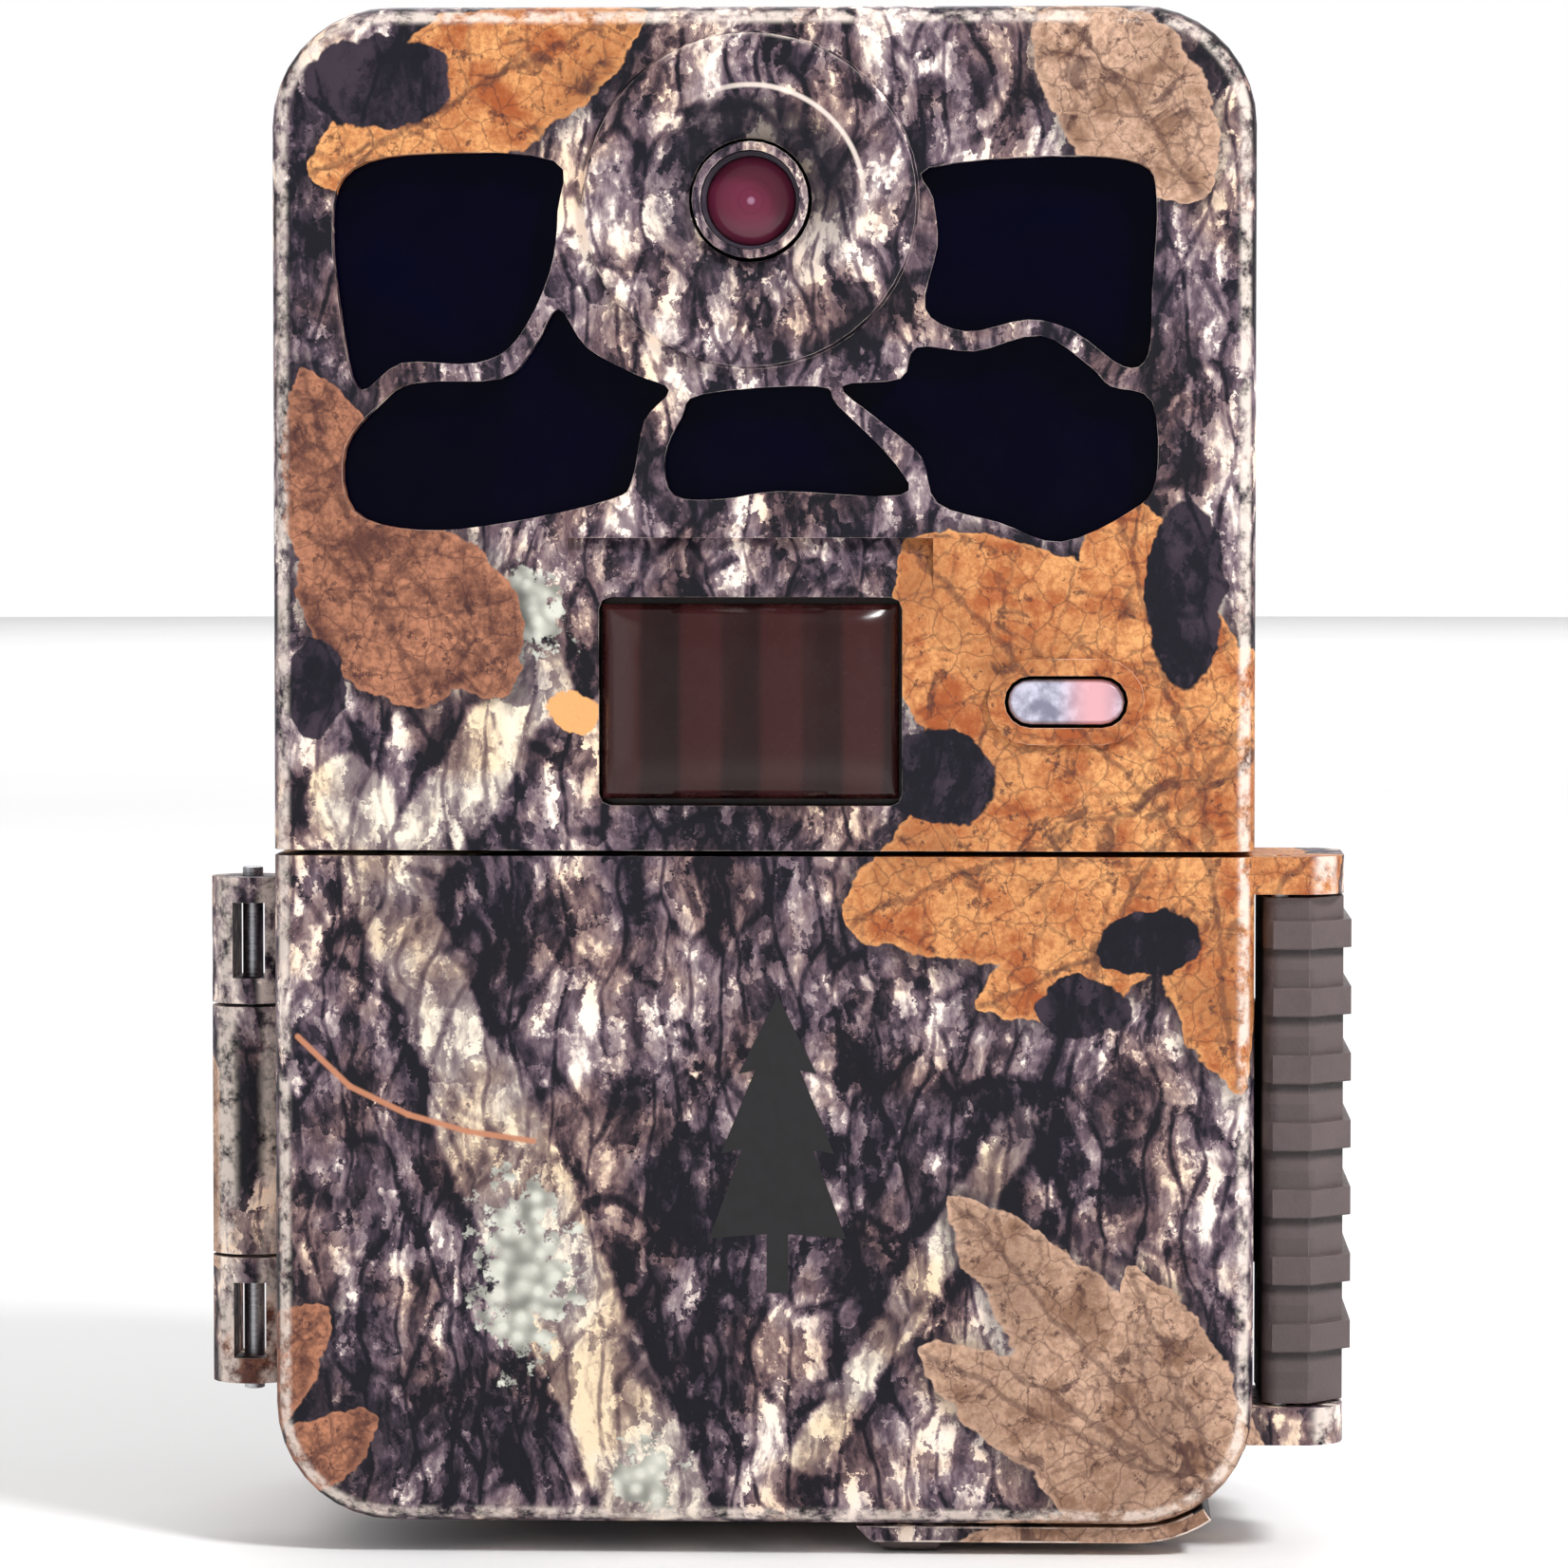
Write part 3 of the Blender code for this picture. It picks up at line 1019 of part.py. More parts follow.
def make_bracket():
    half = BRACKET_WIDTH / 2
    tall = BRACKET_HEIGHT / 2
    outlines = [rounded(-half, half, PIVOT_Z - tall, PIVOT_Z + tall, BRACKET_CORNER, steps=5)]
    for side in (-1, 1):
        outer = half - STRAP_EDGE
        middle = side * (outer - STRAP_SLOT / 2)
        outlines.append(rounded(middle - STRAP_SLOT / 2, middle + STRAP_SLOT / 2, PIVOT_Z - STRAP_WIDTH / 2,
                                PIVOT_Z + STRAP_WIDTH / 2, MM, steps=2))
    bracket = prism("tree_bracket", outlines, "Y", PLATE_FRONT, TREE_FACE, "steel")
    pivot = (0, PIVOT_Y, PIVOT_Z)
    ear = 2 * MM
    for side in (-1, 1):
        low_x, high_x = sorted((side * BOSS_HALF, side * (BOSS_HALF + ear)))
        fuse(bracket,
             box(f"bracket_ear_{side:+d}", (low_x, PIVOT_Y, PIVOT_Z - EAR_RADIUS),
                 (high_x, PLATE_FRONT + MM, PIVOT_Z + EAR_RADIUS)),
             round_bar(f"bracket_ear_round_{side:+d}", "X", pivot, low_x, high_x, EAR_RADIUS, sides=24))
    cut(bracket, round_bar("bracket_hole", "X", pivot, -BOSS_HALF - 5 * MM, BOSS_HALF + 5 * MM,
                           PIVOT_RADIUS + PIVOT_CLEAR))
    end = BOSS_HALF + ear
    bolt = round_bar("pivot_bolt", "X", pivot, -end - MM, end + KNOB_LENGTH, PIVOT_RADIUS, "steel")
    fuse(bolt, round_bar("bolt_head", "X", pivot, -end - GAP - 2.4 * MM, -end - GAP, 3.8 * MM, sides=6))

    joint = make_joint("tilt_knob_axis", (end, PIVOT_Y, PIVOT_Z))
    knob = round_bar("tilt_knob", "X", pivot, end + GAP, end + GAP + KNOB_LENGTH, KNOB_RADIUS,
                     "black_plastic", sides=24)
    flutes = [
        round_bar(f"flute_{k}", "X", (0, PIVOT_Y + (KNOB_RADIUS + 0.3 * MM) * math.cos(k * math.pi / 4),
                                      PIVOT_Z + (KNOB_RADIUS + 0.3 * MM) * math.sin(k * math.pi / 4)),
                  end, end + KNOB_LENGTH + MM, MM, sides=8)
        for k in range(8)
    ]
    cut(knob, *flutes, round_bar("knob_bore", "X", (0, PIVOT_Y, PIVOT_Z), end, end + KNOB_LENGTH + 2 * MM,
                                 PIVOT_RADIUS + PIVOT_CLEAR))
    move_to(joint, knob)


make_front_housing()
make_rear_housing()
make_screws()
make_filter()
make_led_board()
make_camera_module()
make_motion_sensor()
make_status_light()
make_main_board()
make_deck()
make_screen()
make_buttons()
make_switch()
make_card()
make_latch(make_door())
make_tray()
make_sockets()
make_bracket()
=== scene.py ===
"""The finished look of a trail camera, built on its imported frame. It is run as a script.

Every piece sits in the frame's own metres and rides on one of the frame's bodies. PATTERN_LIFT and
PATTERN_AHEAD move the camouflage into millimetres measured from the middle of the case's underside.
"""

import json
import math

import bmesh
import bpy
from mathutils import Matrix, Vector

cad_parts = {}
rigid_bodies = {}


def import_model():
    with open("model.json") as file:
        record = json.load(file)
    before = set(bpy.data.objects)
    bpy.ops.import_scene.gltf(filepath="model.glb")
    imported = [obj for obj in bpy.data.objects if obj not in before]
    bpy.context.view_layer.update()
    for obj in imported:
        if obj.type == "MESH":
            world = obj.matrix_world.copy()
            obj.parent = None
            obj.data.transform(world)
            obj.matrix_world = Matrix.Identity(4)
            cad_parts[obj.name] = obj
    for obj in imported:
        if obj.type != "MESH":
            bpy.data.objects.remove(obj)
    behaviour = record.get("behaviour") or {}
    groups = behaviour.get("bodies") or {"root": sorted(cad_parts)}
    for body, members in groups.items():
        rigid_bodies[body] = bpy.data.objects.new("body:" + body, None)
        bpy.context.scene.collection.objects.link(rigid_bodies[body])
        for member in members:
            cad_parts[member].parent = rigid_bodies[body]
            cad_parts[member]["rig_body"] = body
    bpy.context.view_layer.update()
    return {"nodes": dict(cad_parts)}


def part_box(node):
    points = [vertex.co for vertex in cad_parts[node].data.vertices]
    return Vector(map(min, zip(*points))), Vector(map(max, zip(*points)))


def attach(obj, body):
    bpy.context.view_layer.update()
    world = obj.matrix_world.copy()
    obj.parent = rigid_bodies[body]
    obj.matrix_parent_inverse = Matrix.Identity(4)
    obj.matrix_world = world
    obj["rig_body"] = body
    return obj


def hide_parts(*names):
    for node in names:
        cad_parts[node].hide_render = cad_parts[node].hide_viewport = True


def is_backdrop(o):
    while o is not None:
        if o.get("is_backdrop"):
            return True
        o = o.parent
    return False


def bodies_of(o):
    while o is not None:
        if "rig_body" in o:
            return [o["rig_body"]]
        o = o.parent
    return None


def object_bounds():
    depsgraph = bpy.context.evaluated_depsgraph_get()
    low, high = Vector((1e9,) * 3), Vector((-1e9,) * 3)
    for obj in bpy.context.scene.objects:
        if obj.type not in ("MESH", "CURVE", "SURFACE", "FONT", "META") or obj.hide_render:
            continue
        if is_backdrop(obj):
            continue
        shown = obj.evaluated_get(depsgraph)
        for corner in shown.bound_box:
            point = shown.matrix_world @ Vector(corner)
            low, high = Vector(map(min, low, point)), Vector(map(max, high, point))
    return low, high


for leftover in list(bpy.data.objects):
    bpy.data.objects.remove(leftover)
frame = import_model()
NODES = frame["nodes"]

bl_info = {
    "name": "Trail Camera",
    "version": (1, 0, 0),
    "blender": (4, 5, 0),
    "location": "3D View > Sidebar > Trail Camera",
    "description": "Builds the visible pieces of a trail camera on its frame",
    "category": "Object",
}

MM = 0.001
CASE_LOW, CASE_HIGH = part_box("rear_housing")
PATTERN_LIFT = -CASE_LOW[2] / MM
PATTERN_AHEAD = -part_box("front_housing")[1][1] / MM
SMOOTH_UNDER = math.radians(32)
FLAT_UNDER = math.radians(0.6)


def centre_of(node):
    low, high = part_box(node)
    return [(a + b) / 2 for a, b in zip(low, high)]


# ---------------------------------------------------------------- node trees


def tree_node(tree, kind, inputs=None, **settings):
    """A node with its settings and inputs. An input given a socket is linked to it."""
    made = tree.nodes.new(kind)
    for name, value in settings.items():
        setattr(made, name, value)
    for name, value in (inputs or {}).items():
        if isinstance(value, bpy.types.NodeSocket):
            tree.links.new(value, made.inputs[name])
        else:
            made.inputs[name].default_value = value
    return made


def math_of(tree, operation, first, second=0.0, third=0.0, clamp=False):
    made = tree_node(tree, "ShaderNodeMath", {0: first, 1: second, 2: third}, operation=operation)
    made.use_clamp = clamp
    return made.outputs[0]


def times(tree, first, second):
    return math_of(tree, "MULTIPLY", first, second)


def minus(tree, first, second):
    return math_of(tree, "SUBTRACT", first, second)


def larger(tree, first, second):
    return math_of(tree, "MAXIMUM", first, second)


def absolute(tree, value):
    return math_of(tree, "ABSOLUTE", value)


def vector_of(tree, operation, *vectors):
    """The result of one vector operation: a vector or, from a length or a product, a value."""
    made = tree_node(tree, "ShaderNodeVectorMath", dict(enumerate(vectors)), operation=operation)
    return made.outputs["Value" if operation in ("LENGTH", "DOT_PRODUCT", "DISTANCE") else 0]


def axes_of(tree, vector):
    return tree_node(tree, "ShaderNodeSeparateXYZ", {0: vector}).outputs


def fade(tree, value, low, high, start=0.0, end=1.0):
    """start below low, end above high, and an even change between them."""
    inputs = {"Value": value, "From Min": low, "From Max": high, "To Min": start, "To Max": end}
    return tree_node(tree, "ShaderNodeMapRange", inputs, interpolation_type="SMOOTHSTEP").outputs[0]


def blend_colour(tree, amount, first, second, mode="MIX"):
    made = tree_node(tree, "ShaderNodeMix", {0: amount, 6: first, 7: second}, data_type="RGBA")
    made.blend_type = mode
    return made.outputs[2]


def ramp(tree, value, stops):
    made = tree_node(tree, "ShaderNodeValToRGB", {0: value})
    elements = made.color_ramp.elements
    while len(elements) < len(stops):
        elements.new(0.5)
    for element, (place, colour) in zip(elements, stops):
        element.position, element.color = place, colour
    return made.outputs[0]


def noise(tree, place, scale, detail=3.0, roughness=0.55, output=0, distortion=0.0):
    inputs = {"Vector": place, "Scale": scale, "Detail": detail, "Roughness": roughness,
              "Distortion": distortion}
    return tree_node(tree, "ShaderNodeTexNoise", inputs).outputs[output]


def cells(tree, place, scale, feature):
    inputs = {"Vector": place, "Scale": scale}
    return tree_node(tree, "ShaderNodeTexVoronoi", inputs, feature=feature).outputs[0]


def scaled(tree, place, scale, shift=(0.0, 0.0, 0.0)):
    inputs = {"Vector": place, "Scale": scale, "Location": shift}
    return tree_node(tree, "ShaderNodeMapping", inputs).outputs[0]


def surface_millimetres(tree):
    """Object coordinates in millimetres from the middle of the case's underside."""
    place = tree_node(tree, "ShaderNodeTexCoord").outputs["Object"]
    return scaled(tree, place, (1000.0,) * 3, (0.0, PATTERN_AHEAD, PATTERN_LIFT))


def linear(red, green, blue):
    """A colour from its three screen values, 0 to 255."""
    return tuple((value / 255) ** 2.2 for value in (red, green, blue)) + (1.0,)


def toned(colour, share):
    return tuple(min(1.0, value * share) for value in colour[:3]) + (1.0,)


def painted_edge_highlight(tree, place):
    """Where a painted highlight falls: on the rounded edges, broken up in patches."""
    edge = tree_node(tree, "ShaderNodeAttribute", attribute_name="edge").outputs["Fac"]
    patches = fade(tree, noise(tree, place, 0.35, 4.0, 0.65), 0.38, 0.62)
    return times(tree, edge, patches)


def fresh_material(name, **values):
    """A material with one Principled shader, whose even values are set on its own sockets."""
    material = bpy.data.materials.new(name)
    material.use_nodes = True
    tree = material.node_tree
    tree.nodes.clear()
    shader = tree_node(tree, "ShaderNodeBsdfPrincipled", values)
    tree_node(tree, "ShaderNodeOutputMaterial", {"Surface": shader.outputs[0]})
    return material, tree, shader


def connect(tree, shader, colour, roughness, height, depth):
    """Feeds the shader its colour and roughness, and a bump that is depth metres high."""
    bump = tree_node(tree, "ShaderNodeBump", {"Strength": 1.0, "Distance": depth, "Height": height})
    tree.links.new(colour, shader.inputs["Base Color"])
    tree.links.new(roughness, shader.inputs["Roughness"])
    tree.links.new(bump.outputs[0], shader.inputs["Normal"])


# ---------------------------------------------------------------- camouflage

# Each lobe is its root, its tip and its width, in millimetres. Past 41.5 across, a place lies on
# the case's side, and from 158 to 242 it lies on the back.
ORANGE_LOBES = (
    ((38, 56), (12, 83), 22), ((38, 58), (29, 88), 13), ((44, 66), (7, 51), 18),
    ((37, 64), (40, 37), 11), ((30, 52), (44, 74), 16), ((36, 52), (18, 44), 9), ((39, 50), (52, 62), 14),
    ((-38, 114), (-10, 129), 13), ((62, 18), (84, 52), 20), ((-58, 84), (-84, 112), 18),
    ((228, 66), (192, 96), 24),
)
TAN_LOBES = (
    ((40, 1), (16, 28), 10), ((40, 0), (31, 22), 9), ((42, 0), (13, 15), 10), ((44, -2), (22, 13), 17),
    ((37, 112), (24, 130), 13), ((14, -4), (44, -2), 9), ((90, 84), (58, 112), 17),
    ((-56, 20), (-86, 44), 17), ((176, 18), (210, 44), 22), ((172, 92), (190, 124), 18),
)
RUST_LOBES = (
    ((-29, 69), (-39, 98), 11), ((-33, 84), (-21, 71), 12), ((-38, 84), (-27, 70), 12),
    ((-50, 6), (-37, 18), 9), ((-44, 2), (-33, 9), 6),
)
DARK_HOLES = (((32.5, 49.5), (4.6, 2.9)), ((15.0, 63.5), (5.2, 4.2)), ((-32.5, 122.0), (6.6, 4.0)),
              ((27.0, 44.0), (4.2, 2.6)), ((35.5, 79.0), (3.4, 8.0)), ((-38.0, 71.0), (2.6, 4.2)))
LIMBS = (((-35.0, 62.0), (-24.0, 36.0), 3.3), ((-24.0, 36.0), (-7.0, -3.0), 4.6),
         ((-31.0, 54.0), (-19.0, 72.0), 3.0),
         ((4.0, 6.0), (22.0, 34.0), 1.8))
LICHEN = (((-20.5, 21.5), (6.0, 10.5)), ((-20.0, 77.0), (5.0, 5.5)), ((-10.0, 4.0), (4.0, 4.5)))
TWIG = ((-39.4, 41.4), (-35.0, 37.2), (-30.0, 34.8), (-25.0, 33.4), (-19.4, 32.6))
FLECK_SHARE = 0.76


def make_lobe_group():
    """One lobe of a leaf: how deep a place lies in it, in millimetres, and its veins."""
    tree = bpy.data.node_groups.new("Leaf lobe", "ShaderNodeTree")
    for name, kind in (("Place", "Vector"), ("Root", "Vector"), ("Angle", "Float"),
                       ("Length", "Float"), ("Width", "Float")):
        tree.interface.new_socket(name, in_out="INPUT", socket_type="NodeSocket" + kind)
    for name in ("Depth", "Vein"):
        tree.interface.new_socket(name, in_out="OUTPUT", socket_type="NodeSocketFloat")
    given = tree_node(tree, "NodeGroupInput").outputs
    turned = tree_node(tree, "ShaderNodeVectorRotate", {
        "Vector": given["Place"], "Center": given["Root"], "Angle": given["Angle"]},
        rotation_type="Z_AXIS").outputs[0]
    local = vector_of(tree, "SUBTRACT", turned, given["Root"])
    parts = axes_of(tree, local)
    along = math_of(tree, "DIVIDE", parts[0], given["Length"])
    inside = larger(tree, math_of(tree, "MINIMUM", along, 0.999), 0.001)
    arch = math_of(tree, "POWER", math_of(tree, "SINE", times(tree, inside, math.pi)), 0.62)
    reach = times(tree, times(tree, given["Width"], 0.5), arch)
    across = absolute(tree, parts[1])
    ends = math_of(tree, "MINIMUM", parts[0], minus(tree, given["Length"], parts[0]))
    depth = math_of(tree, "MINIMUM", minus(tree, reach, across), ends)
    midrib = fade(tree, across, 0.12, 0.42, 1.0, 0.0)
    slanted = math_of(tree, "MULTIPLY_ADD", across, -0.11, times(tree, parts[0], 0.17))
    comb = absolute(tree, minus(tree, math_of(tree, "FRACT", slanted), 0.5))
    vein = larger(tree, midrib, fade(tree, comb, 0.015, 0.05, 0.6, 0.0))
    shown = times(tree, vein, math_of(tree, "GREATER_THAN", depth, 0.0))
    tree_node(tree, "NodeGroupOutput", {"Depth": depth, "Vein": shown})
    return tree


def unfolded(tree, place):
    """Across and up over the case's faces, laid out flat, as a vector."""
    parts = axes_of(tree, place)
    normal = axes_of(tree, tree_node(tree, "ShaderNodeTexCoord").outputs["Normal"])
    behind_face = math_of(tree, "ADD", parts[1], 18.0)
    on_side = math_of(tree, "GREATER_THAN", absolute(tree, normal[0]), 0.75)
    side = times(tree, math_of(tree, "SIGN", normal[0]), behind_face)
    across = math_of(tree, "MULTIPLY_ADD", side, on_side, parts[0])
    on_back = math_of(tree, "GREATER_THAN", normal[1], 0.75)
    across = math_of(tree, "MULTIPLY_ADD", on_back, 200.0, across)
    on_end = math_of(tree, "GREATER_THAN", absolute(tree, normal[2]), 0.75)
    up = math_of(tree, "MULTIPLY_ADD", times(tree, on_end, behind_face),
                 math_of(tree, "SIGN", normal[2]), parts[2])
    return tree_node(tree, "ShaderNodeCombineXYZ", {0: across, 1: up}).outputs[0]


def lobes_of(tree, group, flat, lobes):
    """(depth, veins) of several lobes as one leaf."""
    depth = veins = None
    for root, tip, width in lobes:
        run = Vector(tip) - Vector(root)
        lobe = tree_node(tree, "ShaderNodeGroup", node_tree=group)
        values = {"Root": (*root, 0.0), "Angle": -math.atan2(run.y, run.x), "Length": run.length,
                  "Width": float(width)}
        for name, value in values.items():
            lobe.inputs[name].default_value = value
        tree.links.new(flat, lobe.inputs["Place"])
        depth = lobe.outputs[0] if depth is None else larger(tree, depth, lobe.outputs[0])
        veins = lobe.outputs[1] if veins is None else larger(tree, veins, lobe.outputs[1])
    return depth, veins


def patch(tree, flat, centre, size):
    """How far inside an oval patch a place lies: 1 at its middle, 0 on its outline."""
    moved = scaled(tree, flat, (1 / size[0], 1 / size[1], 1.0),
                   (-centre[0] / size[0], -centre[1] / size[1], 0.0))
    length = vector_of(tree, "LENGTH", moved)
    return minus(tree, 1.0, length)


def near_line(tree, flat, start, end):
    """The distance from a straight line between two places, in millimetres."""
    run = Vector((*end, 0.0)) - Vector((*start, 0.0))
    away = vector_of(tree, "SUBTRACT", flat, (*start, 0.0))
    dot = vector_of(tree, "DOT_PRODUCT", away, run / run.length_squared)
    held = math_of(tree, "ADD", dot, 0.0, clamp=True)
    foot = tree_node(tree, "ShaderNodeVectorMath", {0: run, "Scale": held}, operation="SCALE").outputs[0]
    return vector_of(tree, "DISTANCE", away, foot)


def make_camouflage_group(looks):
    """The printed woodland pattern: bark, a limb with lichen, leaves with veins, holes and a twig."""
    tree = bpy.data.node_groups.new("Woodland print", "ShaderNodeTree")
    tree.interface.new_socket("Color", in_out="OUTPUT", socket_type="NodeSocketColor")
    tree.interface.new_socket("Tone", in_out="OUTPUT", socket_type="NodeSocketFloat")
    place = surface_millimetres(tree)
    lobe_group = make_lobe_group()

    bend = vector_of(tree, "SUBTRACT", noise(tree, place, 0.09, 2.0, output=1), (0.5,) * 3)
    bent = vector_of(tree, "MULTIPLY_ADD", bend, (5.0, 5.0, 2.0), place)
    stretched = scaled(tree, bent, (1.0, 1.0, looks.bark_stretch))
    fine = noise(tree, stretched, looks.grain, 4.0, 0.66)
    streaks = noise(tree, scaled(tree, bent, (1.0, 1.0, 0.14)), looks.grain * 0.72, 3.0, 0.6)
    middle = noise(tree, scaled(tree, bent, (1.0, 1.0, 0.3)), looks.grain * 0.2, 3.0, 0.5)
    broad = noise(tree, place, 0.045, 2.0)
    tone = math_of(tree, "MULTIPLY_ADD", fine, 1.5, -0.3)
    for layer, share in ((streaks, 0.7), (middle, 1.9), (broad, 1.5)):
        tone = math_of(tree, "MULTIPLY_ADD", minus(tree, layer, 0.5), share, tone)
    plates = cells(tree, scaled(tree, bent, (1.0, 1.0, 0.34)), 0.3, "DISTANCE_TO_EDGE")
    cracks = fade(tree, plates, 0.01, 0.08, 1.0, 0.0)
    tone = math_of(tree, "MULTIPLY_ADD", cracks, -0.34, tone)
    tear = noise(tree, place, 1.1, 3.0, 0.65, output=1)
    torn = vector_of(tree, "MULTIPLY_ADD", tear, (1.9,) * 3, stretched)
    for size, share in ((0.75, 0.5), (0.3, 0.42)):
        grains = tree_node(tree, "ShaderNodeTexVoronoi", {"Vector": torn, "Scale": size})
        chips = tree_node(tree, "ShaderNodeSeparateColor", {0: grains.outputs["Color"]}).outputs
        tone = math_of(tree, "MULTIPLY_ADD", minus(tree, chips[1], 0.5), share, tone)
        chosen = math_of(tree, "GREATER_THAN", chips[0], FLECK_SHARE)
        fleck = times(tree, fade(tree, grains.outputs[0], 0.24, 0.4, 1.0, 0.0), chosen)
        tone = math_of(tree, "MULTIPLY_ADD", fleck, share * 0.6, tone)

    even = unfolded(tree, place)
    wobble = vector_of(tree, "SUBTRACT", noise(tree, place, 0.3, 3.0, 0.6, output=1), (0.5,) * 3)
    flat = vector_of(tree, "MULTIPLY_ADD", wobble, (2.8, 2.8, 0.0), even)

    limb = gap = None
    for start, end, width in LIMBS:
        away = near_line(tree, flat, start, end)
        inside = fade(tree, away, width - 0.6, width + 0.5, 1.0, 0.0)
        beside = fade(tree, away, width + 0.3, width + 3.0, 1.0, 0.0)
        limb = inside if limb is None else larger(tree, limb, inside)
        gap = beside if gap is None else larger(tree, gap, beside)
    hollow = math_of(tree, "SUBTRACT", gap, limb, clamp=True)
    calm = math_of(tree, "MULTIPLY_ADD", minus(tree, tone, 0.5), 0.62, 0.74)
    tone = math_of(tree, "ADD", times(tree, tone, minus(tree, 1.0, limb)),
                   times(tree, calm, limb))
    tone = math_of(tree, "MULTIPLY_ADD", hollow, -0.34, tone)

    def shade(name, darker=1.0):
        return toned(getattr(looks, name), darker)

    bark = ramp(tree, tone, ((0.0, shade("bark_black")), (0.24, shade("bark_dark")),
                             (0.48, shade("bark_middle")), (0.72, shade("bark_light")),
                             (0.98, shade("bark_pale"))))
    warmth = fade(tree, noise(tree, place, 0.11, 3.0), 0.42, 0.62)
    bark = blend_colour(tree, warmth, bark, blend_colour(tree, 1.0, bark, shade("bark_tint"), "MULTIPLY"))
    green = times(tree, limb, 0.45)
    colour = blend_colour(tree, green, bark, blend_colour(tree, 1.0, bark, shade("moss"), "MULTIPLY"))

    crust = cells(tree, place, 0.8, "SMOOTH_F1")
    for centre, size in LICHEN:
        inside = math_of(tree, "MULTIPLY_ADD", noise(tree, place, 0.45, 4.0, 0.7), 2.4, -1.35)
        inside = math_of(tree, "ADD", inside, patch(tree, flat, centre, size))
        inside = fade(tree, inside, 0.12, 0.3)
        lichen = blend_colour(tree, fade(tree, crust, 0.15, 0.75), shade("lichen"), shade("lichen", 0.32))
        colour = blend_colour(tree, inside, colour, lichen)

    mottle = fade(tree, noise(tree, place, 0.17, 6.0, 0.72), 0.36, 0.62)
    grit = fade(tree, noise(tree, place, 1.5, 3.0, 0.72), 0.42, 0.62, 0.0, 0.5)
    ageing = fade(tree, noise(tree, place, 0.085, 5.0, 0.7), 0.5, 0.66)
    speck = fade(tree, noise(tree, place, 0.8, 4.0, 0.75), 0.58, 0.66)
    blotch = fade(tree, noise(tree, place, 0.24, 4.0, 0.62, distortion=1.0), 0.56, 0.66)
    crazed = vector_of(tree, "MULTIPLY_ADD", noise(tree, place, 0.7, 2.0, output=1), (1.2,) * 3, place)
    crackle = fade(tree, cells(tree, crazed, 0.36, "DISTANCE_TO_EDGE"), 0.008, 0.04, 1.0, 0.0)
    for lobes, dark, light in ((RUST_LOBES, "rust_dark", "rust_light"),
                               (ORANGE_LOBES, "orange_dark", "orange_light"),
                               (TAN_LOBES, "tan_dark", "tan_light")):
        depth, veins = lobes_of(tree, lobe_group, flat, lobes)
        shadow = fade(tree, depth, -2.0, 0.0, 0.0, 0.62)
        colour = blend_colour(tree, shadow, colour, shade("bark_black"))
        leaf = blend_colour(tree, mottle, shade(dark), shade(light))
        leaf = blend_colour(tree, times(tree, ageing, 0.7), leaf, shade(dark, 0.6))
        leaf = blend_colour(tree, grit, leaf, shade(dark, 0.9))
        for layer, share in ((blotch, 0.72), (speck, 0.72), (crackle, 0.45)):
            leaf = blend_colour(tree, times(tree, layer, share), leaf, shade("leaf_spot"))
        leaf = blend_colour(tree, times(tree, veins, 0.5), leaf, shade("leaf_spot"))
        rim = fade(tree, depth, 0.1, 0.75, 0.35, 0.0)
        leaf = blend_colour(tree, rim, leaf, shade(light))
        colour = blend_colour(tree, fade(tree, depth, -0.05, 0.16), colour, leaf)

    dark_wood = blend_colour(tree, fade(tree, tone, 0.2, 1.0), shade("bark_black"), shade("bark_dark"))
    for centre, size in DARK_HOLES:
        hole = fade(tree, patch(tree, flat, centre, size), 0.0, 0.06)
        colour = blend_colour(tree, hole, colour, dark_wood)
    bud = fade(tree, patch(tree, flat, (-16.0, 69.0), (2.4, 1.9)), 0.0, 0.1)
    colour = blend_colour(tree, bud, colour, shade("orange_light"))
    for start, end in zip(TWIG, TWIG[1:]):
        line = near_line(tree, even, start, end)
        colour = blend_colour(tree, fade(tree, line, 0.12, 0.36, 0.95, 0.0), colour, shade("rust_light"))

    tree_node(tree, "NodeGroupOutput", {"Color": colour, "Tone": tone})
    return tree


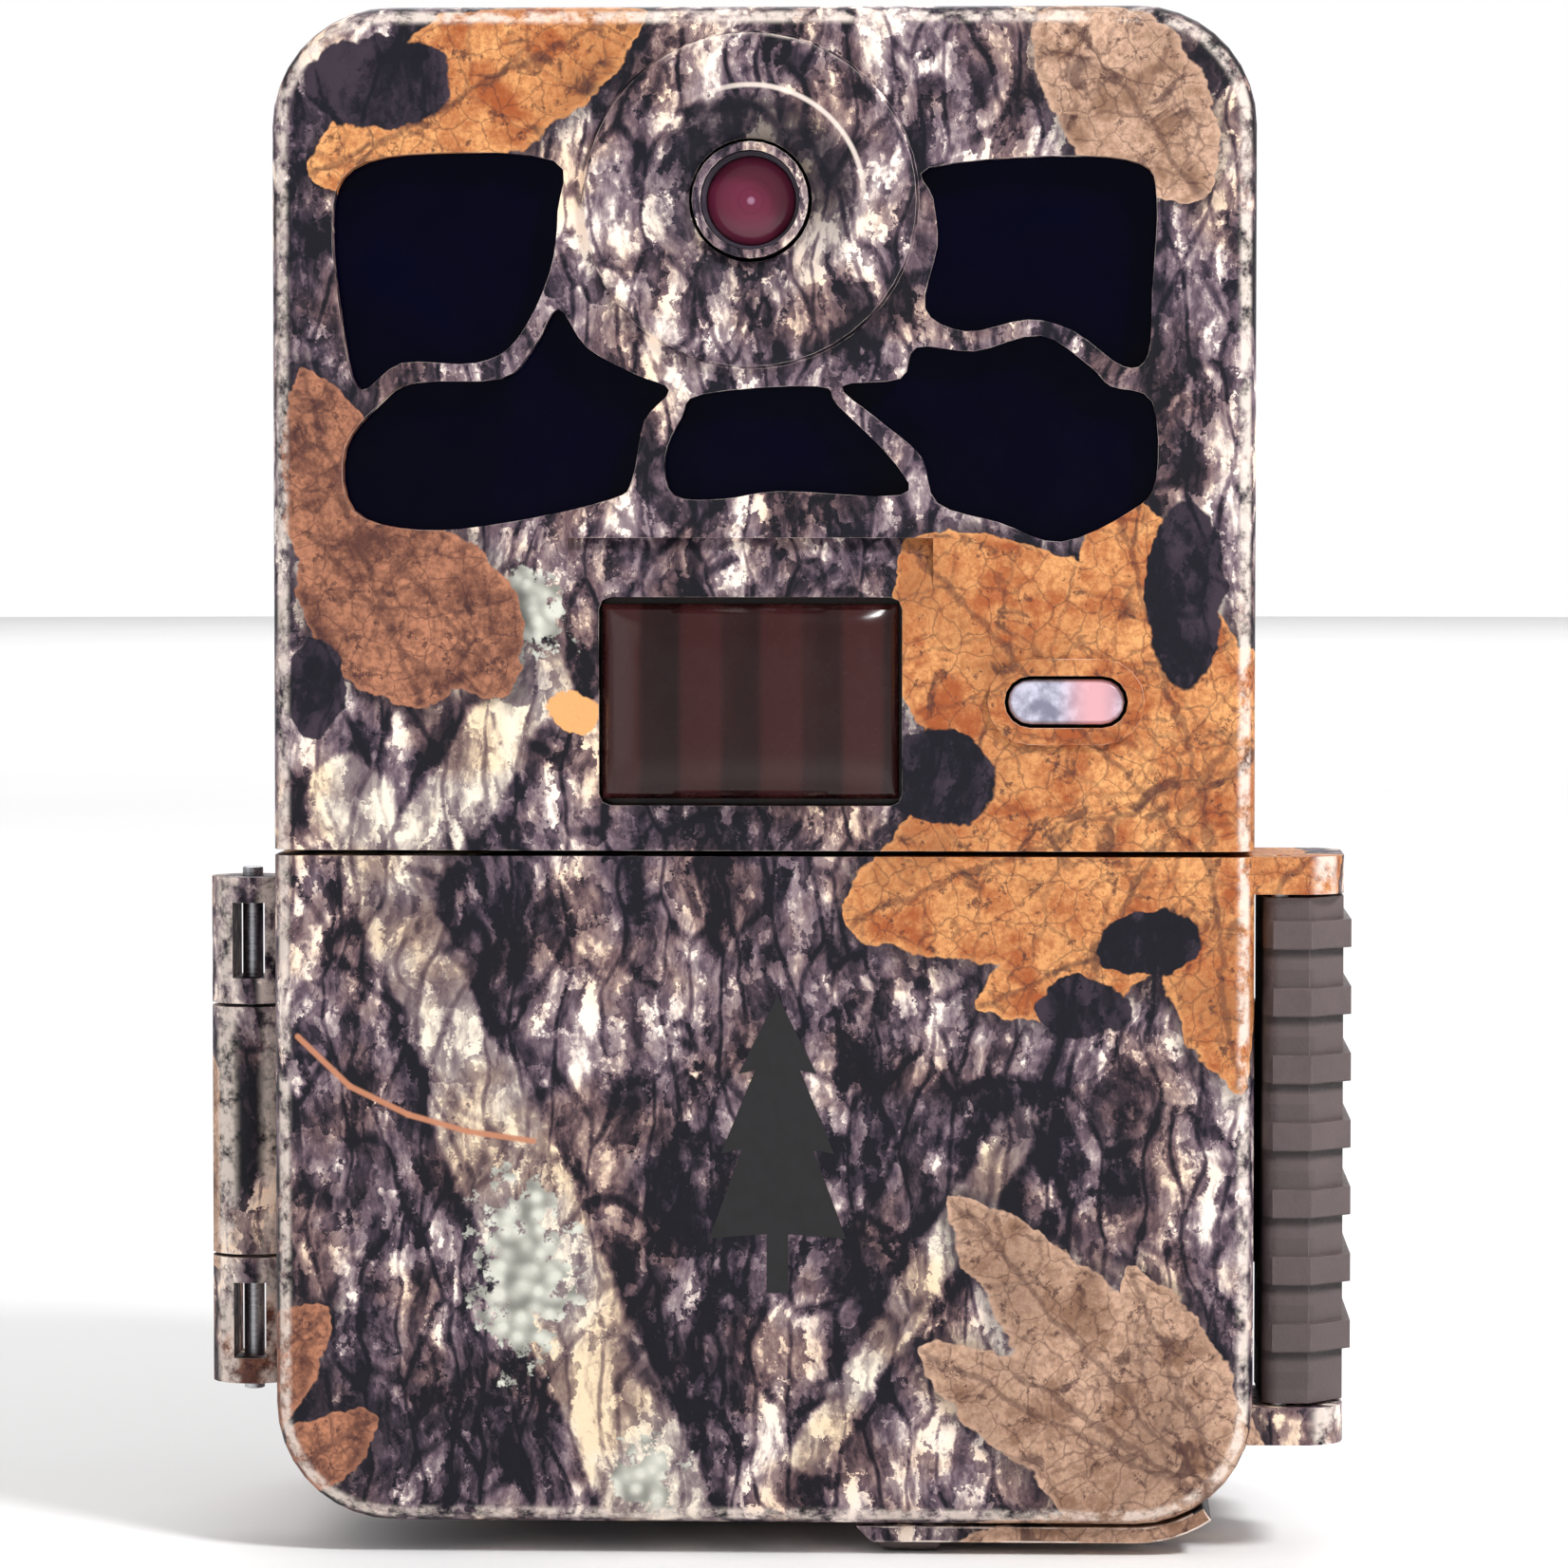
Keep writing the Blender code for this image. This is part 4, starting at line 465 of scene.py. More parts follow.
def make_camouflage(looks):
    """The dipped film over satin plastic, with a painted highlight on its rounded edges and on the rim of the
    lens recess, and painted shade inside the recess.
    """
    material, tree, shader = fresh_material("camouflage_film", **{"Specular IOR Level": 0.26})
    print_group = tree_node(tree, "ShaderNodeGroup", node_tree=make_camouflage_group(looks)).outputs
    place = surface_millimetres(tree)
    parts = axes_of(tree, place)
    # Painted highlight: a pale line on the case's rounded front edges, broken up by noise.
    facing = absolute(tree, axes_of(tree, tree_node(tree, "ShaderNodeTexCoord").outputs["Normal"])[1])
    round_edge = times(tree, fade(tree, facing, 0.5, 0.72), fade(tree, facing, 0.9, 0.99, 1.0, 0.0))
    outer = larger(tree, fade(tree, absolute(tree, parts[0]), 36.4, 37.2),
                   fade(tree, absolute(tree, minus(tree, parts[2], 64.0)), 59.0, 60.5))
    painted_highlight = times(tree, times(tree, round_edge, outer),
                 fade(tree, noise(tree, place, 0.5, 4.0, 0.7), 0.36, 0.6))
    x, _, z = centre_of("lens_glass")
    lens_place = (x / MM, 0.0, z / MM + PATTERN_LIFT)
    away = vector_of(tree, "SUBTRACT", place, lens_place)
    away = scaled(tree, away, (1.0, 0.0, 1.0))
    radius = vector_of(tree, "LENGTH", away)
    above = vector_of(tree, "DOT_PRODUCT", vector_of(tree, "NORMALIZE", away), (0.55, 0.0, 0.83))
    ahead = math_of(tree, "LESS_THAN", parts[1], -10.0)
    # Painted highlight: a pale arc on the upper right of the lens recess's rim.
    rim = times(tree, fade(tree, absolute(tree, minus(tree, radius, RECESS_RADIUS)), 0.08, 0.3, 1.0, 0.0),
                fade(tree, above, 0.3, 0.9))
    rim = times(tree, rim, ahead)
    # Painted shade: the print darkened inside the lens recess, most towards the top.
    inside = times(tree, fade(tree, radius, 4.9, 5.2), fade(
        tree, radius, RECESS_RADIUS - 1.6, RECESS_RADIUS, 1.0, 0.0))
    shade = times(tree, times(tree, inside, ahead), fade(tree, above, -0.5, 0.8, 0.2, 0.78))
    colour = blend_colour(tree, shade, print_group["Color"], (*looks.bark_black, 1.0))
    # All the painted highlights, in the pale bark colour.
    highlighted = larger(tree, larger(tree, painted_edge_highlight(tree, place), painted_highlight), rim)
    colour = blend_colour(tree, times(tree, highlighted, 0.7), colour, (*looks.bark_pale, 1.0))
    roughness = fade(tree, noise(tree, place, 0.6, 4.0), 0.3, 0.7, 0.46, 0.64)
    grain = noise(tree, place, 3.2, 2.0)
    height = math_of(tree, "MULTIPLY_ADD", print_group["Tone"], 0.35, grain)
    connect(tree, shader, colour, roughness, height, 0.00005)
    return material


# ---------------------------------------------------------------- plain finishes


def make_moulded(name, dark, light, rough=(0.42, 0.58), grain=2.6, depth=0.00004, highlight_strength=0.35, **values):
    """Moulded plastic or rubber: mottled, finely grained, and painted paler on its rounded edges as a
    highlight.
    """
    material, tree, shader = fresh_material(name, **values)
    place = surface_millimetres(tree)
    cloud = noise(tree, place, 0.09, 4.0, 0.6)
    dust = noise(tree, place, 0.9, 3.0, 0.65)
    mixed = math_of(tree, "MULTIPLY_ADD", dust, 0.45, times(tree, cloud, 0.6))
    colour = blend_colour(tree, fade(tree, mixed, 0.36, 0.7), dark, light)
    # Painted highlight: the rounded edges turn pale.
    painted_highlight = times(tree, painted_edge_highlight(tree, place), highlight_strength)
    colour = blend_colour(tree, painted_highlight, colour, tuple(min(1.0, v * 2.2 + 0.02) for v in light[:3]) + (1.0,))
    roughness = fade(tree, noise(tree, place, 0.5, 4.0), 0.3, 0.7, *rough)
    height = noise(tree, place, grain, 2.0, 0.5)
    connect(tree, shader, colour, roughness, height, depth)
    return material


def make_latch_plastic(looks):
    """The latch's soft plastic, with a painted shadow below each rib, painted shade on its front facet and
    between its ribs, and a painted highlight on its rounded edges.
    """
    light = (*looks.latch_tint, 1.0)
    material, tree, shader = fresh_material("latch_elastomer", **{"Specular IOR Level": 0.4})
    place = surface_millimetres(tree)
    cloud = noise(tree, place, 0.12, 4.0, 0.6)
    dust = noise(tree, place, 1.1, 3.0, 0.65)
    mixed = math_of(tree, "MULTIPLY_ADD", dust, 0.45, times(tree, cloud, 0.6))
    colour = blend_colour(tree, fade(tree, mixed, 0.34, 0.7), toned(light, 0.78), light)
    parts = axes_of(tree, place)
    rib_foot = centre_of("latch")[2] / MM + PATTERN_LIFT + RIBS_UP - RIB_HALF
    above_rib = minus(tree, parts[2], rib_foot - (10 + RIB_STEP) * RIB_PITCH)
    step = math_of(tree, "FRACT", math_of(tree, "DIVIDE", above_rib, RIB_PITCH))
    # Painted shadow: a dark line just below each rib.
    painted_rib_shadow = times(tree, fade(tree, step, 0.12, 0.22), fade(tree, step, 0.3, 0.33, 1.0, 0.0))
    # Painted shade: the front facet darker between the ribs.
    panel = times(tree, fade(tree, step, 0.72, 0.76), fade(tree, parts[0], 46.4, 46.9, 1.0, 0.0))
    # Painted shade: the whole front facet darker than the side chamfer, on which the light falls.
    front = fade(tree, parts[0], 46.0, 46.6, 1.0, 0.0)
    for layer, share in ((painted_rib_shadow, 0.85), (panel, 0.2), (front, 0.16)):
        colour = blend_colour(tree, times(tree, layer, share), colour,
                              toned(light, 0.22))
    # Painted highlight on the rounded edges.
    painted_highlight = times(tree, painted_edge_highlight(tree, place), 0.2)
    colour = blend_colour(tree, painted_highlight, colour, toned(light, 2.4))
    roughness = fade(tree, dust, 0.3, 0.7, 0.46, 0.62)
    connect(tree, shader, colour, roughness, noise(tree, place, 3.4, 2.0), 0.00006)
    return material


def make_metal(name, dark, light, rough=(0.24, 0.42), brush=(0.06, 2.4, 2.4)):
    """Metal with a brushed grain, fingermarks, and a painted highlight on its edges."""
    material, tree, shader = fresh_material(name, Metallic=1.0)
    place = surface_millimetres(tree)
    lines = noise(tree, scaled(tree, place, brush), 2.2, 3.0, 0.6)
    marks = noise(tree, place, 0.12, 4.0, 0.6)
    mixed = math_of(tree, "MULTIPLY_ADD", lines, 0.5, times(tree, marks, 0.5))
    colour = blend_colour(tree, fade(tree, mixed, 0.32, 0.68), dark, light)
    colour = blend_colour(tree, times(tree, painted_edge_highlight(tree, place), 0.6), colour, light)
    mixed = math_of(tree, "MULTIPLY_ADD", marks, 0.7, times(tree, lines, 0.3))
    roughness = fade(tree, mixed, 0.35, 0.65, *rough)
    connect(tree, shader, colour, roughness, lines, 0.00002)
    return material


def make_board():
    """Green circuit board: copper tracks under the mask, and tinned pads."""
    material, tree, shader = fresh_material("circuit_board", **{"Specular IOR Level": 0.5})
    place = surface_millimetres(tree)
    squared = tree_node(tree, "ShaderNodeTexVoronoi", {"Vector": place, "Scale": 0.34},
                        feature="DISTANCE_TO_EDGE", distance="EUCLIDEAN").outputs[0]
    tracks = fade(tree, squared, 0.05, 0.08, 1.0, 0.0)
    colour = blend_colour(tree, noise(tree, place, 0.2, 3.0), linear(10, 60, 34), linear(22, 92, 52))
    colour = blend_colour(tree, times(tree, tracks, 0.7), colour, linear(52, 132, 74))
    pads = tree_node(tree, "ShaderNodeTexVoronoi", {"Vector": place, "Scale": 0.4},
                     distance="CHEBYCHEV").outputs[0]
    pad = fade(tree, pads, 0.1, 0.13, 1.0, 0.0)
    colour = blend_colour(tree, pad, colour, linear(196, 192, 180))
    roughness = fade(tree, noise(tree, place, 0.8, 3.0), 0.3, 0.7, 0.28, 0.46)
    connect(tree, shader, colour, roughness, larger(tree, tracks, pad), 0.00005)
    return material


def make_filter_plastic(looks):
    """The near-black plastic that lets infrared through, polished, with faint moulding swirls."""
    material, tree, shader = fresh_material("infrared_filter", **{
        "Specular IOR Level": 0.06, "Coat Weight": 0.04, "Coat Roughness": 0.08})
    place = surface_millimetres(tree)
    swirl = noise(tree, place, 0.06, 3.0, distortion=1.2)
    colour = blend_colour(tree, swirl, (*looks.filter_tint, 1.0), linear(2, 3, 14))
    roughness = fade(tree, noise(tree, place, 0.25, 4.0), 0.35, 0.65, 0.16, 0.24)
    connect(tree, shader, colour, roughness, swirl, 0.00003)
    return material


def make_lens_coating(looks, centre):
    """Coated glass: a dusky red iris with darker rings round a pale middle."""
    material, tree, shader = fresh_material("coated_glass", **{
        "Specular IOR Level": 0.3, "Coat Weight": 0.25, "Coat Roughness": 0.05})
    place = tree_node(tree, "ShaderNodeTexCoord").outputs["Object"]
    flat = scaled(tree, place, (1000.0, 0.0, 1000.0), (-centre[0] / MM, 0.0, -centre[2] / MM))
    radius = vector_of(tree, "LENGTH", flat)
    wave = math_of(tree, "SINE", times(tree, radius, 7.5))
    ring = times(tree, fade(tree, wave, 0.55, 1.0), fade(tree, radius, 0.5, 3.0, 1.0, 0.25))
    tint = (*looks.lens_tint, 1.0)
    deep = toned(looks.lens_tint, 0.55)
    colour = blend_colour(tree, fade(tree, radius, 1.6, 3.8, 0.0, 0.5), tint, deep)
    colour = blend_colour(tree, times(tree, ring, 0.35), colour, deep)
    colour = blend_colour(tree, fade(tree, radius, 0.18, 0.42, 0.5, 0.0), colour, linear(196, 150, 178))
    smear = noise(tree, scaled(tree, place, (900.0,) * 3), 0.7, 3.0)
    connect(tree, shader, colour, fade(tree, smear, 0.3, 0.7, 0.14, 0.26), smear, 0.000004)
    return material


def make_motion_plastic(looks):
    """Smoky plastic with the soft upright bands of the ribbed lens behind it, their brightness painted as
    highlight and shade.
    """
    material, tree, shader = fresh_material("smoky_plastic", **{
        "Specular IOR Level": 0.22, "Coat Weight": 0.22, "Coat Roughness": 0.1,
        "Subsurface Weight": 0.05, "Subsurface Radius": (0.002, 0.001, 0.001)})
    place = surface_millimetres(tree)
    parts = axes_of(tree, place)
    bow = times(tree, math_of(tree, "POWER", times(tree, minus(tree, 64.5, parts[2]), 0.22), 2.0), 0.4)
    leaning = math_of(tree, "MULTIPLY_ADD", math_of(tree, "LESS_THAN", parts[2], 64.5), bow, parts[0])
    wave = math_of(tree, "SINE", times(tree, leaning, 0.92))
    slow = noise(tree, scaled(tree, place, (0.16, 0.0, 0.03)), 1.0, 2.0)
    # Painted highlight and shade: the lit bands take the tint 3.3 times brighter, the others the plain tint.
    facet_light_and_shade = math_of(tree, "MULTIPLY_ADD", fade(tree, wave, -0.4, 0.5), 0.5, slow)
    colour = blend_colour(tree, fade(tree, facet_light_and_shade, 0.35, 1.0), (*looks.motion_tint, 1.0),
                          toned(looks.motion_tint, 3.3))
    roughness = fade(tree, noise(tree, place, 0.5, 3.0), 0.3, 0.7, 0.2, 0.32)
    connect(tree, shader, colour, roughness, wave, 0.00006)
    return material


def make_milky(looks):
    """The light pipe of the indicator: milky, with a painted pink highlight in a strip over the light."""
    material, tree, shader = fresh_material("milky_light_pipe", **{
        "Subsurface Weight": 0.35, "Subsurface Radius": (0.003, 0.003, 0.003), "Coat Weight": 0.5,
        "Coat Roughness": 0.1})
    place = surface_millimetres(tree)
    cloud = noise(tree, place, 0.5, 3.0, 0.6)
    colour = blend_colour(tree, fade(tree, cloud, 0.35, 0.7), (*looks.pipe_tint, 1.0), linear(206, 204, 222))
    # Painted highlight: a pink upright strip across the light pipe.
    pink_highlight = fade(tree, patch(tree, scaled(tree, place, (1.0, 0.0, 0.0)), (28.0, 0.0), (3.4, 1.0)), 0.0, 0.9)
    colour = blend_colour(tree, pink_highlight, colour, linear(222, 168, 176))
    roughness = fade(tree, cloud, 0.3, 0.7, 0.16, 0.3)
    connect(tree, shader, colour, roughness, cloud, 0.00003)
    return material


def make_screen_glass():
    """A dark display behind its window, with the faint grid of its cells."""
    material, tree, shader = fresh_material("display_glass", **{"Coat Weight": 0.8, "Coat Roughness": 0.04})
    place = surface_millimetres(tree)
    parts = axes_of(tree, place)
    grid = None
    for part in (parts[0], parts[2]):
        comb = absolute(tree, minus(tree, math_of(tree, "FRACT", times(tree, part, 2.0)), 0.5))
        line = fade(tree, comb, 0.4, 0.47)
        grid = line if grid is None else larger(tree, grid, line)
    sheen = noise(tree, place, 0.05, 2.0)
    colour = blend_colour(tree, sheen, linear(16, 22, 30), linear(38, 50, 62))
    colour = blend_colour(tree, times(tree, grid, 0.5), colour, linear(8, 10, 14))
    connect(tree, shader, colour, fade(tree, sheen, 0.3, 0.7, 0.12, 0.2), grid, 0.00001)
    return material


def make_cell_sleeve():
    """The printed sleeve of a battery cell: two bands with a thin bright line between them."""
    material, tree, shader = fresh_material("cell_sleeve", **{"Coat Weight": 0.4, "Coat Roughness": 0.2})
    place = surface_millimetres(tree)
    up = axes_of(tree, place)[2]
    cycle = math_of(tree, "FRACT", math_of(tree, "DIVIDE", minus(tree, up, 3.3), 52.3))
    upper = math_of(tree, "GREATER_THAN", cycle, 0.7)
    body = blend_colour(tree, upper, linear(34, 36, 42), linear(176, 108, 52))
    stripe = math_of(tree, "COMPARE", cycle, 0.7, 0.012)
    body = blend_colour(tree, stripe, body, linear(222, 214, 190))
    scuff = fade(tree, noise(tree, place, 0.4, 5.0, 0.7), 0.5, 0.68)
    body = blend_colour(tree, times(tree, scuff, 0.3), body, linear(120, 116, 108))
    connect(tree, shader, body, fade(tree, scuff, 0.0, 1.0, 0.26, 0.5), scuff, 0.00002)
    return material


def make_finishes(looks):
    """Every material by the name that the pieces ask for."""
    return {
        "camo": make_camouflage(looks),
        "black_plastic": make_moulded("black_plastic", linear(20, 20, 22), linear(46, 45, 48)),
        "bore": make_moulded("barrel_black", linear(40, 32, 44), linear(70, 60, 74), (0.3, 0.45)),
        "latch": make_latch_plastic(looks),
        "rubber": make_moulded("seal_rubber", linear(18, 18, 19), linear(38, 37, 38), (0.62, 0.8), 1.8,
                               0.00005),
        "button": make_moulded("button_silicone", linear(84, 86, 90), linear(128, 130, 134), (0.5, 0.66)),
        "card": make_moulded("card_plastic", linear(16, 40, 96), linear(30, 64, 138), (0.3, 0.45)),
        "ink": make_moulded("black_ink", linear(6, 6, 10), linear(18, 16, 24), (0.42, 0.6), 1.2, 0.00003,
                            0.2),
        "white_ink": make_moulded("white_ink", linear(196, 196, 192), linear(232, 231, 226), (0.5, 0.62)),
        "steel": make_metal("brushed_steel", linear(112, 112, 116), linear(198, 198, 202)),
        "coated_steel": make_moulded("coated_steel", linear(40, 41, 40), linear(70, 71, 68), (0.4, 0.6), 1.4,
                                     0.00006, 0.6, Metallic=0.35),
        "brass": make_metal("turned_brass", linear(150, 112, 52), linear(222, 184, 108),
                            brush=(2.4, 2.4, 0.06)),
        "board": make_board(),
        "filter": make_filter_plastic(looks),
        "lens": make_lens_coating(looks, centre_of("lens_glass")),
        "motion": make_motion_plastic(looks),
        "milky": make_milky(looks),
        "led": make_moulded("led_epoxy", linear(118, 112, 128), linear(176, 170, 190), (0.1, 0.2),
                            **{"Coat Weight": 0.6}),
        "screen": make_screen_glass(),
        "cell": make_cell_sleeve(),
    }


FINISHES = {}


# ---------------------------------------------------------------- meshes and pieces


def body_of(node):
    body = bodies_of(NODES[node])
    return body if isinstance(body, str) else list(body)[0]


def add_piece(name, mesh, finish, body, replaces=()):
    """A finished piece at the origin, riding on its body."""
    piece = bpy.data.objects.new(name, mesh)
    bpy.context.scene.collection.objects.link(piece)
    mesh.materials.clear()
    mesh.materials.append(FINISHES[finish])
    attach(piece, body)
    if replaces:
        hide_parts(*replaces)
    return piece


def merged(node):
    """A node's solid as one connected mesh, its flat triangles joined into whole faces."""
    shape = bmesh.new()
    shape.from_mesh(NODES[node].data)
    bmesh.ops.remove_doubles(shape, verts=shape.verts, dist=1e-6)
    bmesh.ops.dissolve_limit(shape, angle_limit=FLAT_UNDER, verts=shape.verts, edges=shape.edges)
    return shape


def sharp_edges(shape, angle=SMOOTH_UNDER):
    return [edge for edge in shape.edges
            if len(edge.link_faces) == 2 and edge.calc_face_angle(0.0) > angle]


def round_edges(shape, edges, width, segments):
    """Rounds some edges, as far as they have room, and marks the new faces for the painted edge highlight."""
    layer = shape.faces.layers.float.new("edge")
    made = bmesh.ops.bevel(shape, geom=edges, offset=width, segments=segments, profile=0.5, affect="EDGES",
                           clamp_overlap=True, offset_type="OFFSET")["faces"]
    for face in made:
        face[layer] = 1.0


def shaded(name, shape):
    """The mesh of a shape, smooth across its rounded edges and flat on its faces."""
    for face in shape.faces:
        face.smooth = True
    for edge in shape.edges:
        edge.smooth = len(edge.link_faces) == 2 and edge.calc_face_angle(0.0) <= SMOOTH_UNDER
    mesh = bpy.data.meshes.new(name)
    shape.to_mesh(mesh)
    shape.free()
    holder = bpy.data.objects.new(name, mesh)
    bpy.context.scene.collection.objects.link(holder)
    even = holder.modifiers.new("even", "WEIGHTED_NORMAL")
    even.keep_sharp, even.weight = True, 60
    evaluated = holder.evaluated_get(bpy.context.evaluated_depsgraph_get())
    finished = bpy.data.meshes.new_from_object(evaluated)
    bpy.data.objects.remove(holder)
    bpy.data.meshes.remove(mesh)
    finished.name = name
    return finished


def rounded_copy(node, width):
    """A node's solid with its sharp edges rounded, and those edges marked for the painted edge highlight."""
    shape = merged(node)
    round_edges(shape, sharp_edges(shape), width, 2)
    return shaded(node + "_finished", shape)


def finish_node(node, finish, width):
    return add_piece(node + "_finished", rounded_copy(node, width), finish, body_of(node), (node,))


def dress_node(node, finish):
    """A node whose own shape stays gets a better material."""
    materials = NODES[node].data.materials
    for index in range(len(materials)):
        materials[index] = FINISHES[finish]


def prism(outline, low, high):
    """A plate whose outline, seen from the front, runs from depth low to high."""
    shape = bmesh.new()
    face = shape.faces.new([shape.verts.new((x, low, z)) for x, z in outline])
    moved = bmesh.ops.extrude_face_region(shape, geom=[face])["geom"]
    points = [part for part in moved if isinstance(part, bmesh.types.BMVert)]
    bmesh.ops.translate(shape, verts=points, vec=(0.0, high - low, 0.0))
    bmesh.ops.recalc_face_normals(shape, faces=shape.faces)
    return shape


def joined(*shapes):
    """Several shapes as one."""
    whole = shapes[0]
    for extra in shapes[1:]:
        mesh = bpy.data.meshes.new("part")
        extra.to_mesh(mesh)
        whole.from_mesh(mesh)
        extra.free()
        bpy.data.meshes.remove(mesh)
    return whole


def turned(profile, centre, sides=64, closed=False):
    """A solid of revolution about the front-to-back axis. The profile is (radius, depth) pairs."""
    shape = bmesh.new()
    rings = []
    for radius, depth in profile:
        if radius == 0.0:
            rings.append([shape.verts.new((centre[0], depth, centre[2]))])
            continue
        ring = []
        for side in range(sides):
            angle = math.tau * side / sides
            across, up = radius * math.cos(angle), radius * math.sin(angle)
            ring.append(shape.verts.new((centre[0] + across, depth, centre[2] + up)))
        rings.append(ring)
    for first, second in zip(rings, rings[1:] + (rings[:1] if closed else [])):
        for side in range(sides):
            after = (side + 1) % sides
            corners = [first[side % len(first)], first[after % len(first)], second[after % len(second)],
                       second[side % len(second)]]
            shape.faces.new(list(dict.fromkeys(corners)))
    bmesh.ops.recalc_face_normals(shape, faces=shape.faces)
    return shape


# ---------------------------------------------------------------- geometry nodes


def grown(name, points, build, inputs, finish, body):
    """A piece grown on points by a node tree, turned into a plain mesh.

    build(tree, given) returns the instance's geometry. inputs are (name, value) pairs.
    """
    tree = bpy.data.node_groups.new(name + "_nodes", "GeometryNodeTree")
    tree.interface.new_socket("Geometry", in_out="INPUT", socket_type="NodeSocketGeometry")
    for label, value in inputs:
        kind = "NodeSocketInt" if isinstance(value, int) else "NodeSocketFloat"
        tree.interface.new_socket(label, in_out="INPUT", socket_type=kind)
    tree.interface.new_socket("Geometry", in_out="OUTPUT", socket_type="NodeSocketGeometry")
    given = tree_node(tree, "NodeGroupInput").outputs
    placed = tree_node(tree, "GeometryNodeInstanceOnPoints",
                       {"Points": given["Geometry"], "Instance": build(tree, given)}).outputs[0]
    real = tree_node(tree, "GeometryNodeRealizeInstances", {0: placed}).outputs[0]
    painted = tree_node(tree, "GeometryNodeSetMaterial",
                        {"Geometry": real, "Material": FINISHES[finish]}).outputs[0]
    tree_node(tree, "NodeGroupOutput", {0: painted})

    seeds = bpy.data.meshes.new(name + "_points")
    seeds.from_pydata(points, [], [])
    holder = bpy.data.objects.new(name + "_holder", seeds)
    bpy.context.scene.collection.objects.link(holder)
    modifier = holder.modifiers.new("grow", "NODES")
    modifier.node_group = tree
    sockets = {item.name: item.identifier for item in tree.interface.items_tree if item.in_out == "INPUT"}
    for label, value in inputs:
        modifier[sockets[label]] = value
    evaluated = holder.evaluated_get(bpy.context.evaluated_depsgraph_get())
    grown_mesh = bpy.data.meshes.new_from_object(evaluated)
    holder.modifiers.remove(modifier)
    bpy.data.objects.remove(holder)
    shape = bmesh.new()
    shape.from_mesh(grown_mesh)
    bmesh.ops.remove_doubles(shape, verts=shape.verts, dist=1e-7)
    bmesh.ops.recalc_face_normals(shape, faces=shape.faces)
    bpy.data.meshes.remove(grown_mesh)
    return add_piece(name, shaded(name, shape), finish, body)


def dome_shape(tree, given):
    """A light-emitting diode: a round body under a dome, facing the front."""
    body = tree_node(tree, "GeometryNodeMeshCylinder", {
        "Vertices": given["Sides"], "Radius": given["Radius"], "Depth": given["Height"]}).outputs[0]
    dome = tree_node(tree, "GeometryNodeMeshUVSphere", {
        "Segments": given["Sides"], "Rings": 8, "Radius": given["Radius"]}).outputs[0]
    lift = tree_node(tree, "ShaderNodeCombineXYZ", {2: times(tree, given["Height"], 0.5)}).outputs[0]
    flatten = tree_node(tree, "ShaderNodeCombineXYZ", {0: 1.0, 1: 1.0, 2: given["Flattening"]}).outputs[0]
    dome = tree_node(tree, "GeometryNodeTransform", {
        "Geometry": dome, "Translation": lift, "Scale": flatten}).outputs[0]
    both = tree_node(tree, "GeometryNodeJoinGeometry")
    tree.links.new(body, both.inputs[0])
    tree.links.new(dome, both.inputs[0])
    return tree_node(tree, "GeometryNodeTransform", {
        "Geometry": both.outputs[0], "Rotation": (math.radians(90), 0.0, 0.0)}).outputs[0]


def spring_shape(tree, given):
    """A coiled contact spring, standing upright."""
    coil = tree_node(tree, "GeometryNodeCurveSpiral", {
        "Resolution": 20, "Rotations": given["Turns"], "Start Radius": given["Wide"],
        "End Radius": given["Narrow"], "Height": given["Height"]}).outputs[0]
    wire = tree_node(tree, "GeometryNodeCurvePrimitiveCircle", {
        "Resolution": 8, "Radius": given["Wire"]}).outputs[0]
    return tree_node(tree, "GeometryNodeCurveToMesh", {
        "Curve": coil, "Profile Curve": wire, "Fill Caps": True}).outputs[0]


# ---------------------------------------------------------------- the object's own pieces

PINE_MARK = ((0.0, 25.2), (3.3, 18.6), (1.9, 18.9), (4.8, 11.8), (3.0, 12.2), (5.8, 4.6), (0.9, 5.0),
             (0.9, 0.0))
MARK_PLACE = (1.3, 19.8)
MARK_THICK = 0.06
WINDOW_LAP = 1.4
WINDOW_GAP = 0.3
WINDOW_EDGE = 0.4
WINDOW_ACROSS, WINDOW_UP = 64, 36
SPRING_GAP = 0.15
CELL_END = 0.5
BARREL_PRINTED = 0.1
BORE_CLEAR = 4.12
GLASS_RIM = 3.75
GLASS_AHEAD = 0.7
CAP_FLATTENING = 0.1
CAP_HEIGHT = 0.1
CAP_PITCH = 8.0
CAP_INSET = 5.0
CAP_ROWS = (6.0, 13.0)
RIB_PROUD = 1.1
RIB_KEPT = 0.6
RIB_PITCH = 5.7
RIB_HALF = 1.2
RIBS_UP = 1.2
RIB_STEP = 0.3
RIB_SHARP = math.radians(24)
STOP_SUNK = 0.3
STOP_CLEAR = 0.4
STOP_WIDE = 1.9
STOP_DEEP = 1.6
STOP_ROUND = 0.45
RECESS_RADIUS = 9.6


def two_finishes(piece, finishes, chooses_second):
    """Gives some of a piece's faces a second material."""
    mesh = piece.data
    mesh.materials.clear()
    for finish in finishes:
        mesh.materials.append(FINISHES[finish])
    for face in mesh.polygons:
        face.material_index = int(chooses_second(face.center))


def pine_mark():
    """A plain pine tree printed on the door."""
    outline = list(PINE_MARK) + [(-x, z) for x, z in reversed(PINE_MARK[1:])]
    lift = CASE_LOW[2] / MM
    points = [((x + MARK_PLACE[0]) * MM, (z + MARK_PLACE[1] + lift) * MM) for x, z in outline]
    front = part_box("front_door")[0][1]
    shape = prism(points, front - MARK_THICK * MM, front + MARK_THICK * MM)
    return add_piece("door_pine_mark", shaded("door_pine_mark", shape), "ink", "door")


